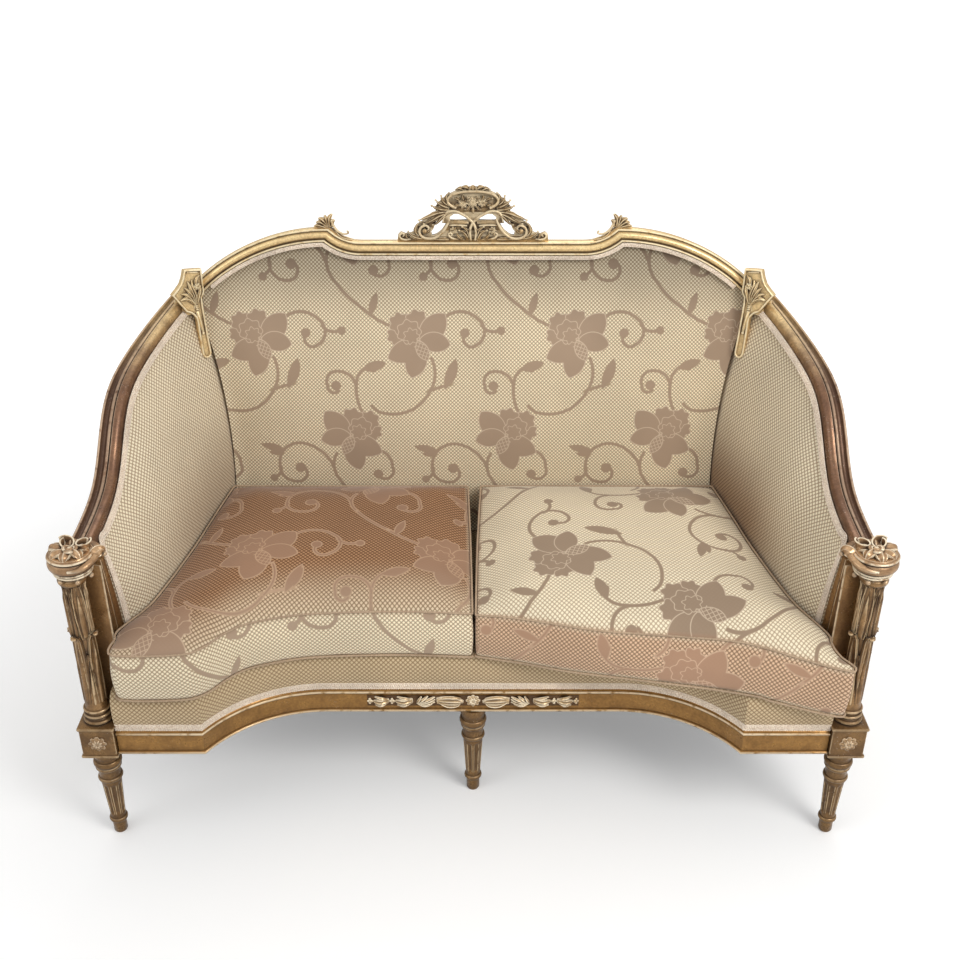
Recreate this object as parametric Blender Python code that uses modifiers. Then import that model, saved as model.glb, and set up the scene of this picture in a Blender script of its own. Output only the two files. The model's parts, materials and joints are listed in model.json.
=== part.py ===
"""Gilt two-seater sofa in the neoclassical manner, with its upholstery and two loose seat cushions.

Metres, +Z up. The sitter looks along -Y. The origin is on the floor under the middle of the sofa.
"""
import math

import bmesh
import bpy
from mathutils import Matrix, Vector

# Fit between pieces that seat on each other
CLEARANCE = 0.0003
SEAT_GAP = 0.0005

# Layout
POST_SPACING = 1.39
POST_Y = -0.324
SEAT_DEPTH = 0.532
BACK_RAKE = math.radians(8.8)
BACK_PIVOT_HEIGHT = 0.25
SHARP_EDGE = math.radians(38)

# Front legs and posts
BLOCK_SIZE = 0.066
BLOCK_BOTTOM = 0.213
BLOCK_HEIGHT = 0.071
FOOT_RADIUS = 0.013
SHAFT_LOW_RADIUS = 0.0143
SHAFT_TOP_RADIUS = 0.0195
TORUS_RADIUS = 0.0266
TORUS_DROP = 0.035
RING_DROP = 0.0695
FOOT_RING_HEIGHT = 0.0345
FLUTE_MARGIN = 0.0155
COLUMN_RADIUS = 0.0178
RING_RADIUS = 0.0258
FLUTES = 8
TURNING_STEPS = 16

# Seat rails
RAIL_BOTTOM = 0.215
RAIL_HEIGHT = 0.055
RAIL_DEPTH = 0.038
RAIL_FRONT = 0.022
FRONT_CORNER_INSET = 0.193
FRONT_ARC_RUN = 0.22
FRONT_RECESS = 0.12
CROSS_HALF = 0.016
BRACE_LEG = 0.062
SIDE_RAIL_SPREAD = 0.005
APRON_HALF_LENGTH = 0.20
APRON_HEIGHT = 0.030
APRON_RELIEF = 0.009

# Back legs and the raked back frame
STILE_WIDTH = 0.040
STILE_DEPTH = 0.030
STILE_X = 0.578
BACK_FOOT_SIZE = 0.028
BACK_FOOT_SPLAY = 0.055
PAD_BACK = 0.0214
WEB_THICKNESS = 0.002
COVER_THICKNESS = 0.0025
STILE_TOP_DROP = 0.044
STAY_RAIL_HEIGHT = 0.10
STAY_RAIL_WIDTH = 0.045

# Crest rail, in the raked frame
CREST_HEIGHT = 0.7287
CREST_FLAT_X = 0.23
EAR_X = 0.30
EAR_RISE = 0.027
SHOULDER_RADIUS = 0.39
CREST_END_X = 0.600
CREST_CARVING_DEPTH = 0.022
CREST_CARVING_BEHIND = 0.016
EAR_LEAF_DEPTH = 0.016

# Arm rails
ARM_FRONT_HEIGHT = 0.632
ARM_OGEE = 0.1345
ARM_END_BEHIND = 0.012
ARM_END_RISE = 0.0034
ARM_FRONT_INSET = 0.016
ARM_FRONT_Y = 0.030
ARM_BOW = 0.012
ARM_RAIL_DEPTH = 0.052
ARM_STATIONS = 20

# Corner blocks, knuckles and facings
CORNER_TURN = math.radians(30)
CORNER_X = 0.582
CORNER_RISE = 0.0071
CORNER_FRONT = 0.034
CORNER_PLATE = 0.016
CORNER_HEAD_FRONT = 0.026
CORNER_HEAD_SHIFT = 0.008
KNUCKLE_RADIUS = 0.041
KNUCKLE_INSET = 0.005
KNUCKLE_HEIGHT = 0.064
KNUCKLE_DROP = 0.030
ROSE_RADIUS = 0.034
ROSE_HEIGHT = 0.024
FACING_THICKNESS = 0.018
FACING_FRONT = 0.0285
ROSETTE_RADIUS = 0.017
ROSETTE_HEIGHT = 0.006

# Upholstery
BORDER_HEIGHT = 0.082
BORDER_DEPTH = 0.034
BORDER_SET_BACK = 0.002
DECK_THICKNESS = 0.015
DECK_DROP = 0.003
WING_THICKNESS = 0.028
WING_BULGE = 0.030
WING_BOTTOM = 0.335
WING_FRONT_X = 0.645
WING_FRONT_Y = 0.087
WING_NEAR_X = 0.575
WING_FAR_X = 0.556
WING_BACK_X = 0.528
BACK_CROWN = 0.030
BACK_COLUMNS = 16
GIMP_HEIGHT = 0.013
GIMP_THICKNESS = 0.0025

# Loose seat cushions
CUSHION_THICKNESS = 0.100
CUSHION_CROWN = 0.020
CUSHION_DRAW = 0.007
CUSHION_GAP = 0.006
LIFT_CLEARANCE = 0.001
CUSHION_OVERHANG = 0.012
CORNER_SLUMP = 0.030

# Springs and webbing
SPRING_WIRE = 0.0038
SPRING_RADIUS = 0.046
SPRING_WAIST = 0.028
SPRING_TUCK = 0.007
SPRING_TURNS = 3.25
SPRING_POINTS_PER_TURN = 8
SPRING_COLUMNS = (0.17, 0.42)
SPRING_INSET = 0.125
STRAP_WIDTH = 0.050
STRAP_MARGIN = 0.008
BACK_STRAP_HEIGHTS = (0.20, 0.335, 0.47)
BACK_STRAP_COLUMNS = (-0.36, -0.12, 0.12, 0.36)

# Values that follow from the sizes above
POST_X = POST_SPACING / 2
COLUMN_TOP = ARM_FRONT_HEIGHT - KNUCKLE_DROP
RAIL_TOP = RAIL_BOTTOM + RAIL_HEIGHT
BLOCK_TOP = BLOCK_BOTTOM + BLOCK_HEIGHT
RAIL_END_X = POST_X - BLOCK_SIZE / 2 - CLEARANCE
FRONT_CORNER_X = POST_X - FRONT_CORNER_INSET
BORDER_TOP = RAIL_TOP + CLEARANCE + BORDER_HEIGHT
DECK_TOP = BORDER_TOP - DECK_DROP
DECK_BOTTOM = DECK_TOP - DECK_THICKNESS
CUSHION_BOTTOM = BORDER_TOP + SEAT_GAP
WEB_FRONT = PAD_BACK + CLEARANCE
STILE_FRONT = WEB_FRONT + WEB_THICKNESS + CLEARANCE
STILE_BACK = STILE_FRONT + STILE_DEPTH
COVER_FRONT = STILE_BACK + CLEARANCE
CREST_BACK = COVER_FRONT + COVER_THICKNESS
KNUCKLE_X = POST_X - KNUCKLE_INSET
KNUCKLE_BOTTOM = COLUMN_TOP + CLEARANCE
KNUCKLE_TOP = KNUCKLE_BOTTOM + KNUCKLE_HEIGHT
WEB_TOP = RAIL_BOTTOM - CLEARANCE
DUST_TOP = WEB_TOP - WEB_THICKNESS - CLEARANCE
FRONT_FLAT_Y = POST_Y - RAIL_FRONT + FRONT_RECESS
BACK_RAIL_Y = POST_Y + SEAT_DEPTH + STILE_FRONT
BACK_BOTTOM = (DECK_TOP + SEAT_GAP - BACK_PIVOT_HEIGHT + PAD_BACK * math.sin(BACK_RAKE)) / math.cos(BACK_RAKE)

for old in list(bpy.data.objects):
    bpy.data.objects.remove(old, do_unlink=True)

PARTS = bpy.data.collections.new("gilt_two_seater_sofa")
CUTTERS = bpy.data.collections.new("cutters")
bpy.context.scene.collection.children.link(PARTS)
bpy.context.scene.collection.children.link(CUTTERS)


def make_material(name, colour, roughness, metallic):
    mat = bpy.data.materials.new(name)
    mat.use_nodes = True
    shader = mat.node_tree.nodes["Principled BSDF"]
    shader.inputs["Base Color"].default_value = (*colour, 1.0)
    shader.inputs["Roughness"].default_value = roughness
    shader.inputs["Metallic"].default_value = metallic
    return mat


GILT = make_material("gilt_wood", (0.50, 0.33, 0.13), 0.42, 0.55)
BEECH = make_material("beech_frame", (0.52, 0.36, 0.20), 0.62, 0.0)
DAMASK = make_material("damask", (0.42, 0.36, 0.26), 0.85, 0.0)
CUSHION_CLOTH = make_material("cushion_damask", (0.33, 0.24, 0.15), 0.85, 0.0)
BRAID = make_material("gimp_braid", (0.50, 0.40, 0.30), 0.85, 0.0)
JUTE = make_material("jute_webbing", (0.40, 0.29, 0.16), 0.95, 0.0)
STEEL = make_material("spring_steel", (0.45, 0.45, 0.46), 0.35, 0.9)
CAMBRIC = make_material("cambric", (0.05, 0.05, 0.05), 0.95, 0.0)


# Shared making steps

def add_object(name, data, mat, parent=None, hidden=False):
    item = bpy.data.objects.new(name, data)
    if hidden:
        CUTTERS.objects.link(item)
        item.hide_render = True
        item.display_type = "WIRE"
    else:
        PARTS.objects.link(item)
    if mat is not None:
        data.materials.clear()
        data.materials.append(mat)
    if parent is not None:
        item.parent = parent
    return item


def mesh_object(name, bm, mat, parent=None, hidden=False):
    bmesh.ops.recalc_face_normals(bm, faces=bm.faces[:])
    if bm.calc_volume(signed=True) < 0:
        bmesh.ops.reverse_faces(bm, faces=bm.faces[:])
    mesh = bpy.data.meshes.new(name)
    bm.to_mesh(mesh)
    bm.free()
    mesh.shade_smooth()
    mesh.set_sharp_from_angle(angle=SHARP_EDGE)
    return add_object(name, mesh, mat, parent, hidden)


def block(name, cuts, shape, mat, parent=None, hidden=False):
    """A box cut into cells, each point moved by shape(u, v, w) with u, v and w from 0 to 1."""
    bm = bmesh.new()
    bmesh.ops.create_cube(bm, size=1.0)
    bmesh.ops.translate(bm, vec=(0.5, 0.5, 0.5), verts=bm.verts[:])
    for axis, count in enumerate(cuts):
        normal = Vector((0, 0, 0))
        normal[axis] = 1.0
        for step in range(1, count):
            everything = bm.verts[:] + bm.edges[:] + bm.faces[:]
            bmesh.ops.bisect_plane(bm, geom=everything, dist=1e-6,
                                   plane_co=normal * (step / count), plane_no=normal)
    for vert in bm.verts:
        vert.co = shape(*vert.co)
    return mesh_object(name, bm, mat, parent, hidden)


def box(name, low, high, mat, parent=None, hidden=False):
    def shape(u, v, w):
        return Vector((low[0] + (high[0] - low[0]) * u,
                       low[1] + (high[1] - low[1]) * v,
                       low[2] + (high[2] - low[2]) * w))
    return block(name, (1, 1, 1), shape, mat, parent, hidden)


def sweep(name, path, profile, mat, parent=None):
    """The profile (side, up) is carried along the path with true mitres. Side is right of travel."""
    path = [Vector(point) for point in path]
    up = Vector((0, 0, 1))
    bm = bmesh.new()
    rings = []
    for index, point in enumerate(path):
        before = path[index] - path[index - 1] if index else path[1] - path[0]
        after = path[index + 1] - path[index] if index + 1 < len(path) else before
        before.normalize()
        after.normalize()
        bisector = (before + after).normalized()
        side = before.cross(up).normalized()
        rise = side.cross(before)
        ring = []
        for across, high in profile:
            offset = side * across + rise * high
            offset -= before * (offset.dot(bisector) / before.dot(bisector))
            ring.append(bm.verts.new(point + offset))
        rings.append(ring)
    count = len(profile)
    for first, second in zip(rings, rings[1:]):
        for i in range(count):
            j = (i + 1) % count
            bm.faces.new((first[i], first[j], second[j], second[i]))
    bm.faces.new(rings[0])
    bm.faces.new(list(reversed(rings[-1])))
    return mesh_object(name, bm, mat, parent)


def turned(name, profile, mat, steps=TURNING_STEPS):
    """A turning: profile (radius, height) from the top down, closed on the axis at both ends."""
    bm = bmesh.new()
    points = [(0.0, profile[0][1])] + list(profile) + [(0.0, profile[-1][1])]
    verts = [bm.verts.new((radius, 0.0, height)) for radius, height in points]
    for first, second in zip(verts, verts[1:]):
        bm.edges.new((first, second))
    mesh = bpy.data.meshes.new(name)
    bm.to_mesh(mesh)
    bm.free()
    item = add_object(name, mesh, mat)
    lathe = item.modifiers.new("lathe", "SCREW")
    lathe.steps = steps
    lathe.render_steps = steps
    lathe.use_merge_vertices = True
    lathe.merge_threshold = 0.00001
    return item


def plate(name, outlines, depth, mat, parent=None, resolution=3, smooth=True, hidden=False):
    """Flat outlines (the first one outside, the rest holes) given in X and Z, with a depth along Y."""
    curve = bpy.data.curves.new(name, "CURVE")
    curve.dimensions = "2D"
    curve.fill_mode = "BOTH"
    curve.extrude = depth / 2
    curve.resolution_u = resolution
    for outline in outlines:
        if smooth:
            spline = curve.splines.new("BEZIER")
            spline.bezier_points.add(len(outline) - 1)
            for point, (x, z) in zip(spline.bezier_points, outline):
                point.co = (x, z, 0.0)
                point.handle_left_type = "AUTO"
                point.handle_right_type = "AUTO"
        else:
            spline = curve.splines.new("POLY")
            spline.points.add(len(outline) - 1)
            for point, (x, z) in zip(spline.points, outline):
                point.co = (x, z, 0.0, 1.0)
        spline.use_cyclic_u = True
    flat = bpy.data.objects.new(name + "_outline", curve)
    CUTTERS.objects.link(flat)
    graph = bpy.context.evaluated_depsgraph_get()
    mesh = bpy.data.meshes.new_from_object(flat.evaluated_get(graph))
    bpy.data.objects.remove(flat, do_unlink=True)
    bm = bmesh.new()
    bm.from_mesh(mesh)
    bmesh.ops.remove_doubles(bm, verts=bm.verts[:], dist=0.00002)
    bmesh.ops.rotate(bm, cent=(0, 0, 0), matrix=Matrix.Rotation(math.radians(90), 3, "X"), verts=bm.verts[:])
    return mesh_object(name, bm, mat, parent, hidden)


def floor_plate(name, outline, bottom, top, mat):
    """A flat outline given in X and Y, from the bottom height to the top height."""
    bm = bmesh.new()
    face = bm.faces.new([bm.verts.new((x, y, bottom)) for x, y in outline])
    grown = bmesh.ops.extrude_face_region(bm, geom=[face])
    moved = [part for part in grown["geom"] if isinstance(part, bmesh.types.BMVert)]
    bmesh.ops.translate(bm, vec=(0, 0, top - bottom), verts=moved)
    return mesh_object(name, bm, mat)


def world_bmesh(item):
    """The finished form of an object, in the frame of the whole sofa."""
    bpy.context.view_layer.update()
    graph = bpy.context.evaluated_depsgraph_get()
    mesh = bpy.data.meshes.new_from_object(item.evaluated_get(graph))
    bm = bmesh.new()
    bm.from_mesh(mesh)
    bpy.data.meshes.remove(mesh)
    bmesh.ops.transform(bm, matrix=item.matrix_world, verts=bm.verts[:])
    return bm


def cut(item, cutter, operation="DIFFERENCE"):
    tool = item.modifiers.new(operation.lower(), "BOOLEAN")
    tool.operation = operation
    tool.solver = "EXACT"
    tool.object = cutter


def make_room(item, *neighbours):
    """Cuts the item back from its neighbours by the clearance."""
    for neighbour in neighbours:
        cutter = mesh_object(item.name + "_room_" + neighbour.name, world_bmesh(neighbour), None, None, True)
        swell = cutter.modifiers.new("swell", "DISPLACE")
        swell.direction = "NORMAL"
        swell.mid_level = 0.0
        swell.strength = 2.2 * CLEARANCE
        cut(item, cutter)


def mirrored(item, name):
    """The right-hand twin of a left-hand piece or cutter."""
    bm = world_bmesh(item)
    bmesh.ops.scale(bm, vec=(-1, 1, 1), verts=bm.verts[:])
    return mesh_object(name, bm, item.active_material, None, item.hide_render)


def lerp(a, b, t):
    return a + (b - a) * t


# The raked frame that carries the back
back_frame = bpy.data.objects.new("back_frame", None)
PARTS.objects.link(back_frame)
back_frame.location = (0, POST_Y + SEAT_DEPTH, BACK_PIVOT_HEIGHT)
back_frame.rotation_euler = (-BACK_RAKE, 0, 0)
BACK_MATRIX = Matrix.Translation(back_frame.location) @ Matrix.Rotation(-BACK_RAKE, 4, "X")


def back_point(x, behind, height):
    return BACK_MATRIX @ Vector((x, behind, height))


# Lines that several pieces share

def shoulder_height(x):
    """Height of the crest rail's middle line in the raked frame."""
    x = abs(x)
    if x <= CREST_FLAT_X:
        return CREST_HEIGHT
    run = EAR_X - CREST_FLAT_X
    cove = (run ** 2 + EAR_RISE ** 2) / (2 * EAR_RISE)
    if x <= EAR_X:
        return CREST_HEIGHT + cove - math.sqrt(cove ** 2 - (x - CREST_FLAT_X) ** 2)
    drop = SHOULDER_RADIUS - math.sqrt(SHOULDER_RADIUS ** 2 - (x - EAR_X) ** 2)
    return CREST_HEIGHT + EAR_RISE - drop


CORNER_HEIGHT = shoulder_height(CREST_END_X) + CORNER_RISE
STILE_TOP = CORNER_HEIGHT - STILE_TOP_DROP
ARM_END = back_point(0, ARM_END_BEHIND, CORNER_HEIGHT)


def front_line():
    """Plan of the serpentine front at the face of the rail, left to right."""
    radius = (FRONT_ARC_RUN ** 2 + FRONT_RECESS ** 2) / (2 * FRONT_RECESS)
    centre_x = -FRONT_CORNER_X + FRONT_ARC_RUN
    centre_y = FRONT_FLAT_Y - radius
    start = math.asin(FRONT_ARC_RUN / radius)
    left = [(-RAIL_END_X, POST_Y - RAIL_FRONT)]
    for step in range(8):
        angle = start * (1 - step / 7)
        left.append((centre_x - radius * math.sin(angle), centre_y + radius * math.cos(angle)))
    return left + [(-x, y) for x, y in reversed(left)]


def front_y(x):
    """How far forward the front line is at a given place across the sofa."""
    line = front_line()
    for (x0, y0), (x1, y1) in zip(line, line[1:]):
        if x0 <= x <= x1:
            return lerp(y0, y1, (x - x0) / (x1 - x0))
    return line[0][1]


def front_path(height):
    return [(x, y, height) for x, y in front_line()]


def arm_point(t):
    """Middle of the left arm rail, from the knuckle (0) to the corner block (1)."""
    front_x = POST_X - ARM_FRONT_INSET
    x = front_x + ARM_BOW * t - (front_x + ARM_BOW - CREST_END_X) * t ** 3
    ogee = 0.5 * (1 + math.tanh((t - 0.4) / 0.11))
    rise = ARM_END.z + ARM_END_RISE - ARM_FRONT_HEIGHT - ARM_OGEE
    z = ARM_FRONT_HEIGHT + ARM_OGEE * ogee + rise * t * t
    return Vector((-x, lerp(POST_Y + ARM_FRONT_Y, ARM_END.y, t), z))


def arm_frame(t):
    """The rail's middle with its inward and upward directions."""
    step = 0.005
    along = (arm_point(min(t + step, 1)) - arm_point(max(t - step, 0))).normalized()
    inward = along.cross(Vector((0, 0, 1))).normalized()
    return arm_point(t), inward, inward.cross(along)


def crest_path():
    left = [-lerp(CREST_END_X, EAR_X, step / 10) for step in range(11)]
    left += [-lerp(EAR_X, CREST_FLAT_X, step / 4) for step in range(1, 5)]
    xs = left + [-x for x in reversed(left)]
    return [(x, 0.0, shoulder_height(x)) for x in xs]


# Show rail moulding: side towards the sitter, up away from the seat
RAIL_HALF = 0.014
SHOW_MOULDING = [
    (0.000, -0.014), (0.0035, -0.012), (0.0035, -0.009), (0.000, -0.0075), (-0.001, -0.0065),
    (0.002, -0.005), (0.0035, -0.001), (0.002, 0.003), (-0.002, 0.006), (-0.005, 0.0065),
    (-0.006, 0.009), (-0.010, 0.0125), (-0.016, 0.014), (-0.022, 0.013),
]


def show_profile(back):
    return SHOW_MOULDING + [(-back + 0.008, 0.010), (-back, 0.006), (-back, -RAIL_HALF)]


# Front posts: fluted leg, block and leaf column in one turning

def leg_profile(top):
    neck = BLOCK_BOTTOM - 0.015
    torus = BLOCK_BOTTOM - TORUS_DROP
    ring = BLOCK_BOTTOM - RING_DROP
    return [
        (TORUS_RADIUS - 0.0015, top), (TORUS_RADIUS - 0.0015, neck), (TORUS_RADIUS - 0.0045, torus + 0.012),
        (TORUS_RADIUS - 0.001, torus + 0.008), (TORUS_RADIUS, torus), (TORUS_RADIUS - 0.001, torus - 0.008),
        (SHAFT_TOP_RADIUS + 0.002, torus - 0.012), (SHAFT_TOP_RADIUS + 0.001, ring + 0.0075),
        (SHAFT_TOP_RADIUS + 0.004, ring + 0.0035), (SHAFT_TOP_RADIUS + 0.004, ring - 0.0035),
        (SHAFT_TOP_RADIUS, ring - 0.0075), (SHAFT_LOW_RADIUS, FOOT_RING_HEIGHT + 0.0065),
        (SHAFT_LOW_RADIUS + 0.0025, FOOT_RING_HEIGHT + 0.0035),
        (SHAFT_LOW_RADIUS + 0.0025, FOOT_RING_HEIGHT - 0.0035), (FOOT_RADIUS, FOOT_RING_HEIGHT - 0.0075),
        (FOOT_RADIUS, 0.004), (FOOT_RADIUS - 0.002, 0.0),
    ]


def flute_cutter(name, location):
    """Rods that follow the taper of the shaft, sunk into its face all round."""
    bm = bmesh.new()
    low = Vector((SHAFT_LOW_RADIUS + 0.0018, 0, FOOT_RING_HEIGHT + FLUTE_MARGIN))
    high = Vector((SHAFT_TOP_RADIUS + 0.0012, 0, BLOCK_BOTTOM - RING_DROP - FLUTE_MARGIN))
    lean = (high - low).to_track_quat("Z", "Y").to_matrix().to_4x4()
    for index in range(FLUTES):
        turn = Matrix.Rotation(2 * math.pi * (index + 0.5) / FLUTES, 4, "Z")
        place = turn @ Matrix.Translation((low + high) / 2) @ lean
        bmesh.ops.create_cone(bm, cap_ends=True, segments=6, radius1=0.0033, radius2=0.0045,
                              depth=(high - low).length, matrix=place)
    cutter = mesh_object(name, bm, None, None, True)
    cutter.location = location
    return cutter


COLUMN_SHAPE = [
    (COLUMN_RADIUS, 0.84), (COLUMN_RADIUS, 0.64), (COLUMN_RADIUS + 0.004, 0.60), (COLUMN_RADIUS, 0.53),
    (COLUMN_RADIUS, 0.365), (COLUMN_RADIUS + 0.005, 0.192), (COLUMN_RADIUS + 0.004, 0.157),
    (RING_RADIUS - 0.001, 0.138), (RING_RADIUS, 0.110), (RING_RADIUS - 0.002, 0.088),
    (RING_RADIUS - 0.0035, 0.076), (RING_RADIUS - 0.0005, 0.057), (RING_RADIUS + 0.0005, 0.031),
    (RING_RADIUS - 0.001, 0.013),
]
column = [
    (RING_RADIUS - 0.001, COLUMN_TOP), (RING_RADIUS - 0.001, COLUMN_TOP - 0.008),
    (COLUMN_RADIUS + 0.002, COLUMN_TOP - 0.018),
]
column += [(radius, lerp(BLOCK_TOP, COLUMN_TOP, share)) for radius, share in COLUMN_SHAPE]
left_post_spot = Vector((-POST_X, POST_Y, 0))
post_left = turned("front_post_left", column + leg_profile(BLOCK_BOTTOM + 0.01), GILT)
post_left.location = left_post_spot
half_block = BLOCK_SIZE / 2
post_block = box("post_block", (-half_block, -half_block, BLOCK_BOTTOM),
                 (half_block, half_block, BLOCK_TOP), None, None, True)
post_block.location = left_post_spot
chamfer = post_block.modifiers.new("chamfer", "BEVEL")
chamfer.width = 0.002
chamfer.segments = 1
cut(post_left, post_block, "UNION")
cut(post_left, flute_cutter("post_flutes", left_post_spot))
mirrored(post_left, "front_post_right")

# Centre front leg, under the middle of the front rail
centre_spot = Vector((0, FRONT_FLAT_Y + RAIL_DEPTH / 2, 0))
centre_leg = turned("centre_front_leg", leg_profile(RAIL_BOTTOM - CLEARANCE), GILT)
centre_leg.location = centre_spot
cut(centre_leg, flute_cutter("centre_flutes", centre_spot))

# Rosettes on the faces of the blocks

FLOWER_RINGS = [
    (0.16, 0.92), (0.30, 0.70), (0.40, 0.52), (0.66, 0.88), (0.90, 0.66), (1.00, 0.30), (0.94, 0.00),
]


def carved_flower(name, radius, height, petals, notch, mat):
    """A round carved flower on the XY plane: a boss in the middle and a ring of petals."""
    bm = bmesh.new()
    count = petals * 2
    rings = []
    for share, rise in FLOWER_RINGS:
        ring = []
        for index in range(count):
            angle = 2 * math.pi * index / count
            dip = notch * (index % 2) * max(0.0, share - 0.4) / 0.6
            reach = radius * share * (1 - dip)
            ring.append(bm.verts.new((reach * math.cos(angle), reach * math.sin(angle), height * rise)))
        rings.append(ring)
    for inner, outer in zip(rings, rings[1:]):
        for i in range(count):
            j = (i + 1) % count
            bm.faces.new((inner[i], outer[i], outer[j], inner[j]))
    middle = bm.verts.new((0, 0, height))
    for i in range(count):
        bm.faces.new((middle, rings[0][i], rings[0][(i + 1) % count]))
    bm.faces.new(list(reversed(rings[-1])))
    return mesh_object(name, bm, mat)


rosette_left = carved_flower("rosette_left", ROSETTE_RADIUS, ROSETTE_HEIGHT, 8, 0.22, GILT)
rosette_left.rotation_euler = (math.radians(90), 0, 0)
rosette_left.location = (-POST_X, POST_Y - half_block - CLEARANCE, BLOCK_BOTTOM + BLOCK_HEIGHT / 2)
mirrored(rosette_left, "rosette_right")

# Front rail: mouldings below and above a flat field
FRONT_RAIL_PROFILE = [
    (-RAIL_DEPTH, 0.0), (0.0, 0.0), (0.004, 0.002), (0.005, 0.005), (0.003, 0.008), (0.0, 0.009),
    (0.0, RAIL_HEIGHT - 0.011), (0.002, RAIL_HEIGHT - 0.010), (0.002, RAIL_HEIGHT - 0.006),
    (0.0, RAIL_HEIGHT - 0.005), (-0.003, RAIL_HEIGHT), (-RAIL_DEPTH, RAIL_HEIGHT),
]
front_rail = sweep("front_rail", front_path(RAIL_BOTTOM), FRONT_RAIL_PROFILE, GILT)


def apron_shape(u, v, w):
    """Garland relief: a rosette in the middle and a run of leaves to each side."""
    x = lerp(-APRON_HALF_LENGTH, APRON_HALF_LENGTH, u)
    side = abs(u - 0.5) * 2
    centre = math.exp(-(side / 0.075) ** 2)
    leaf = abs(math.sin(side * math.pi * 5.5)) * (1 - 0.55 * side)
    half_height = APRON_HEIGHT / 2 * max(centre, 0.28 + 0.62 * leaf * (1 - 0.5 * side))
    z = RAIL_BOTTOM + RAIL_HEIGHT * 0.48 + half_height * (2 * v - 1)
    rib = 1 - (2 * v - 1) ** 2
    out = 0.0015 + w * APRON_RELIEF * (0.35 + 0.65 * rib) * max(centre, 0.35 + 0.5 * leaf)
    y = FRONT_FLAT_Y - CLEARANCE - (out if w > 0.5 else 0.0)
    return Vector((x, y, z))


block("apron_carving", (36, 3, 1), apron_shape, GILT)

# Gimp braid along the top of the front rail
gimp_back = CLEARANCE - BORDER_SET_BACK
gimp_profile = [
    (gimp_back, 0.0), (gimp_back + GIMP_THICKNESS, 0.001),
    (gimp_back + GIMP_THICKNESS, GIMP_HEIGHT - 0.002), (gimp_back, GIMP_HEIGHT - 0.001),
]
sweep("front_gimp", front_path(RAIL_TOP + CLEARANCE), gimp_profile, BRAID)

# Back legs with the stiles they run up into

def stile_shape(u, v, w):
    if w < 0.4:
        x = (u - 0.5) * BACK_FOOT_SIZE
        y = POST_Y + SEAT_DEPTH + (STILE_FRONT + STILE_BACK) / 2 + BACK_FOOT_SPLAY
        return Vector((-STILE_X + x, y + (v - 0.5) * BACK_FOOT_SIZE, 0.0))
    height = 0.0 if w < 0.9 else STILE_TOP
    return back_point(-STILE_X + (u - 0.5) * STILE_WIDTH, lerp(STILE_FRONT, STILE_BACK, v), height)


back_leg_left = block("back_leg_left", (1, 1, 2), stile_shape, GILT)
mirrored(back_leg_left, "back_leg_right")

# Side rails from the posts to the back legs
SIDE_FRONT_Y = POST_Y + half_block + CLEARANCE
SIDE_BACK_Y = BACK_RAIL_Y - 2 * CLEARANCE


def side_rail_x(y):
    return lerp(POST_X, STILE_X + SIDE_RAIL_SPREAD, (y - SIDE_FRONT_Y) / (SIDE_BACK_Y - SIDE_FRONT_Y))


def side_rail_shape(u, v, w):
    face = FRONT_RAIL_PROFILE[1:-1]
    out, high = face[round(w * (len(face) - 1))]
    y = lerp(SIDE_FRONT_Y, SIDE_BACK_Y, v)
    outer = -side_rail_x(y) - RAIL_DEPTH / 2 - out
    return Vector((lerp(outer, -side_rail_x(y) + RAIL_DEPTH / 2, u), y, RAIL_BOTTOM + high))


side_rail_left = block("side_rail_left", (1, 1, len(FRONT_RAIL_PROFILE) - 3), side_rail_shape, GILT)
mirrored(side_rail_left, "side_rail_right")

# Back seat rail, cross rail and corner braces
stile_inner_x = STILE_X - STILE_WIDTH / 2
box("back_seat_rail", (-stile_inner_x + CLEARANCE, BACK_RAIL_Y, RAIL_BOTTOM),
    (stile_inner_x - CLEARANCE, BACK_RAIL_Y + STILE_DEPTH - 0.002, RAIL_TOP), BEECH)
box("seat_cross_rail", (-CROSS_HALF, FRONT_FLAT_Y + RAIL_DEPTH + CLEARANCE, RAIL_BOTTOM),
    (CROSS_HALF, BACK_RAIL_Y - CLEARANCE, RAIL_TOP - 0.015), BEECH)

rail_back_y = POST_Y - RAIL_FRONT + RAIL_DEPTH + CLEARANCE
block_inner_x = POST_X - half_block - CLEARANCE
block_back_y = POST_Y + half_block + CLEARANCE


def side_inner_x(y):
    return side_rail_x(y) - RAIL_DEPTH / 2 - CLEARANCE


brace_front = [
    (-(block_inner_x - BRACE_LEG), rail_back_y), (-block_inner_x, rail_back_y),
    (-block_inner_x, block_back_y), (-side_inner_x(block_back_y), block_back_y),
    (-side_inner_x(block_back_y + BRACE_LEG), block_back_y + BRACE_LEG),
]
brace_bottom = RAIL_BOTTOM + 0.004
brace_top = RAIL_TOP - 0.010
brace_left = floor_plate("front_brace_left", brace_front, brace_bottom, brace_top, BEECH)
mirrored(brace_left, "front_brace_right")
back_rail_face = BACK_RAIL_Y - CLEARANCE
brace_reach = back_rail_face - BRACE_LEG
brace_end = back_rail_face - CLEARANCE
brace_back = [
    (-(stile_inner_x - BRACE_LEG), back_rail_face), (-side_inner_x(brace_reach), brace_reach),
    (-side_inner_x(brace_end), brace_end), (-stile_inner_x, back_rail_face),
]
brace_left = floor_plate("back_brace_left", brace_back, brace_bottom, brace_top, BEECH)
mirrored(brace_left, "back_brace_right")

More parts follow.
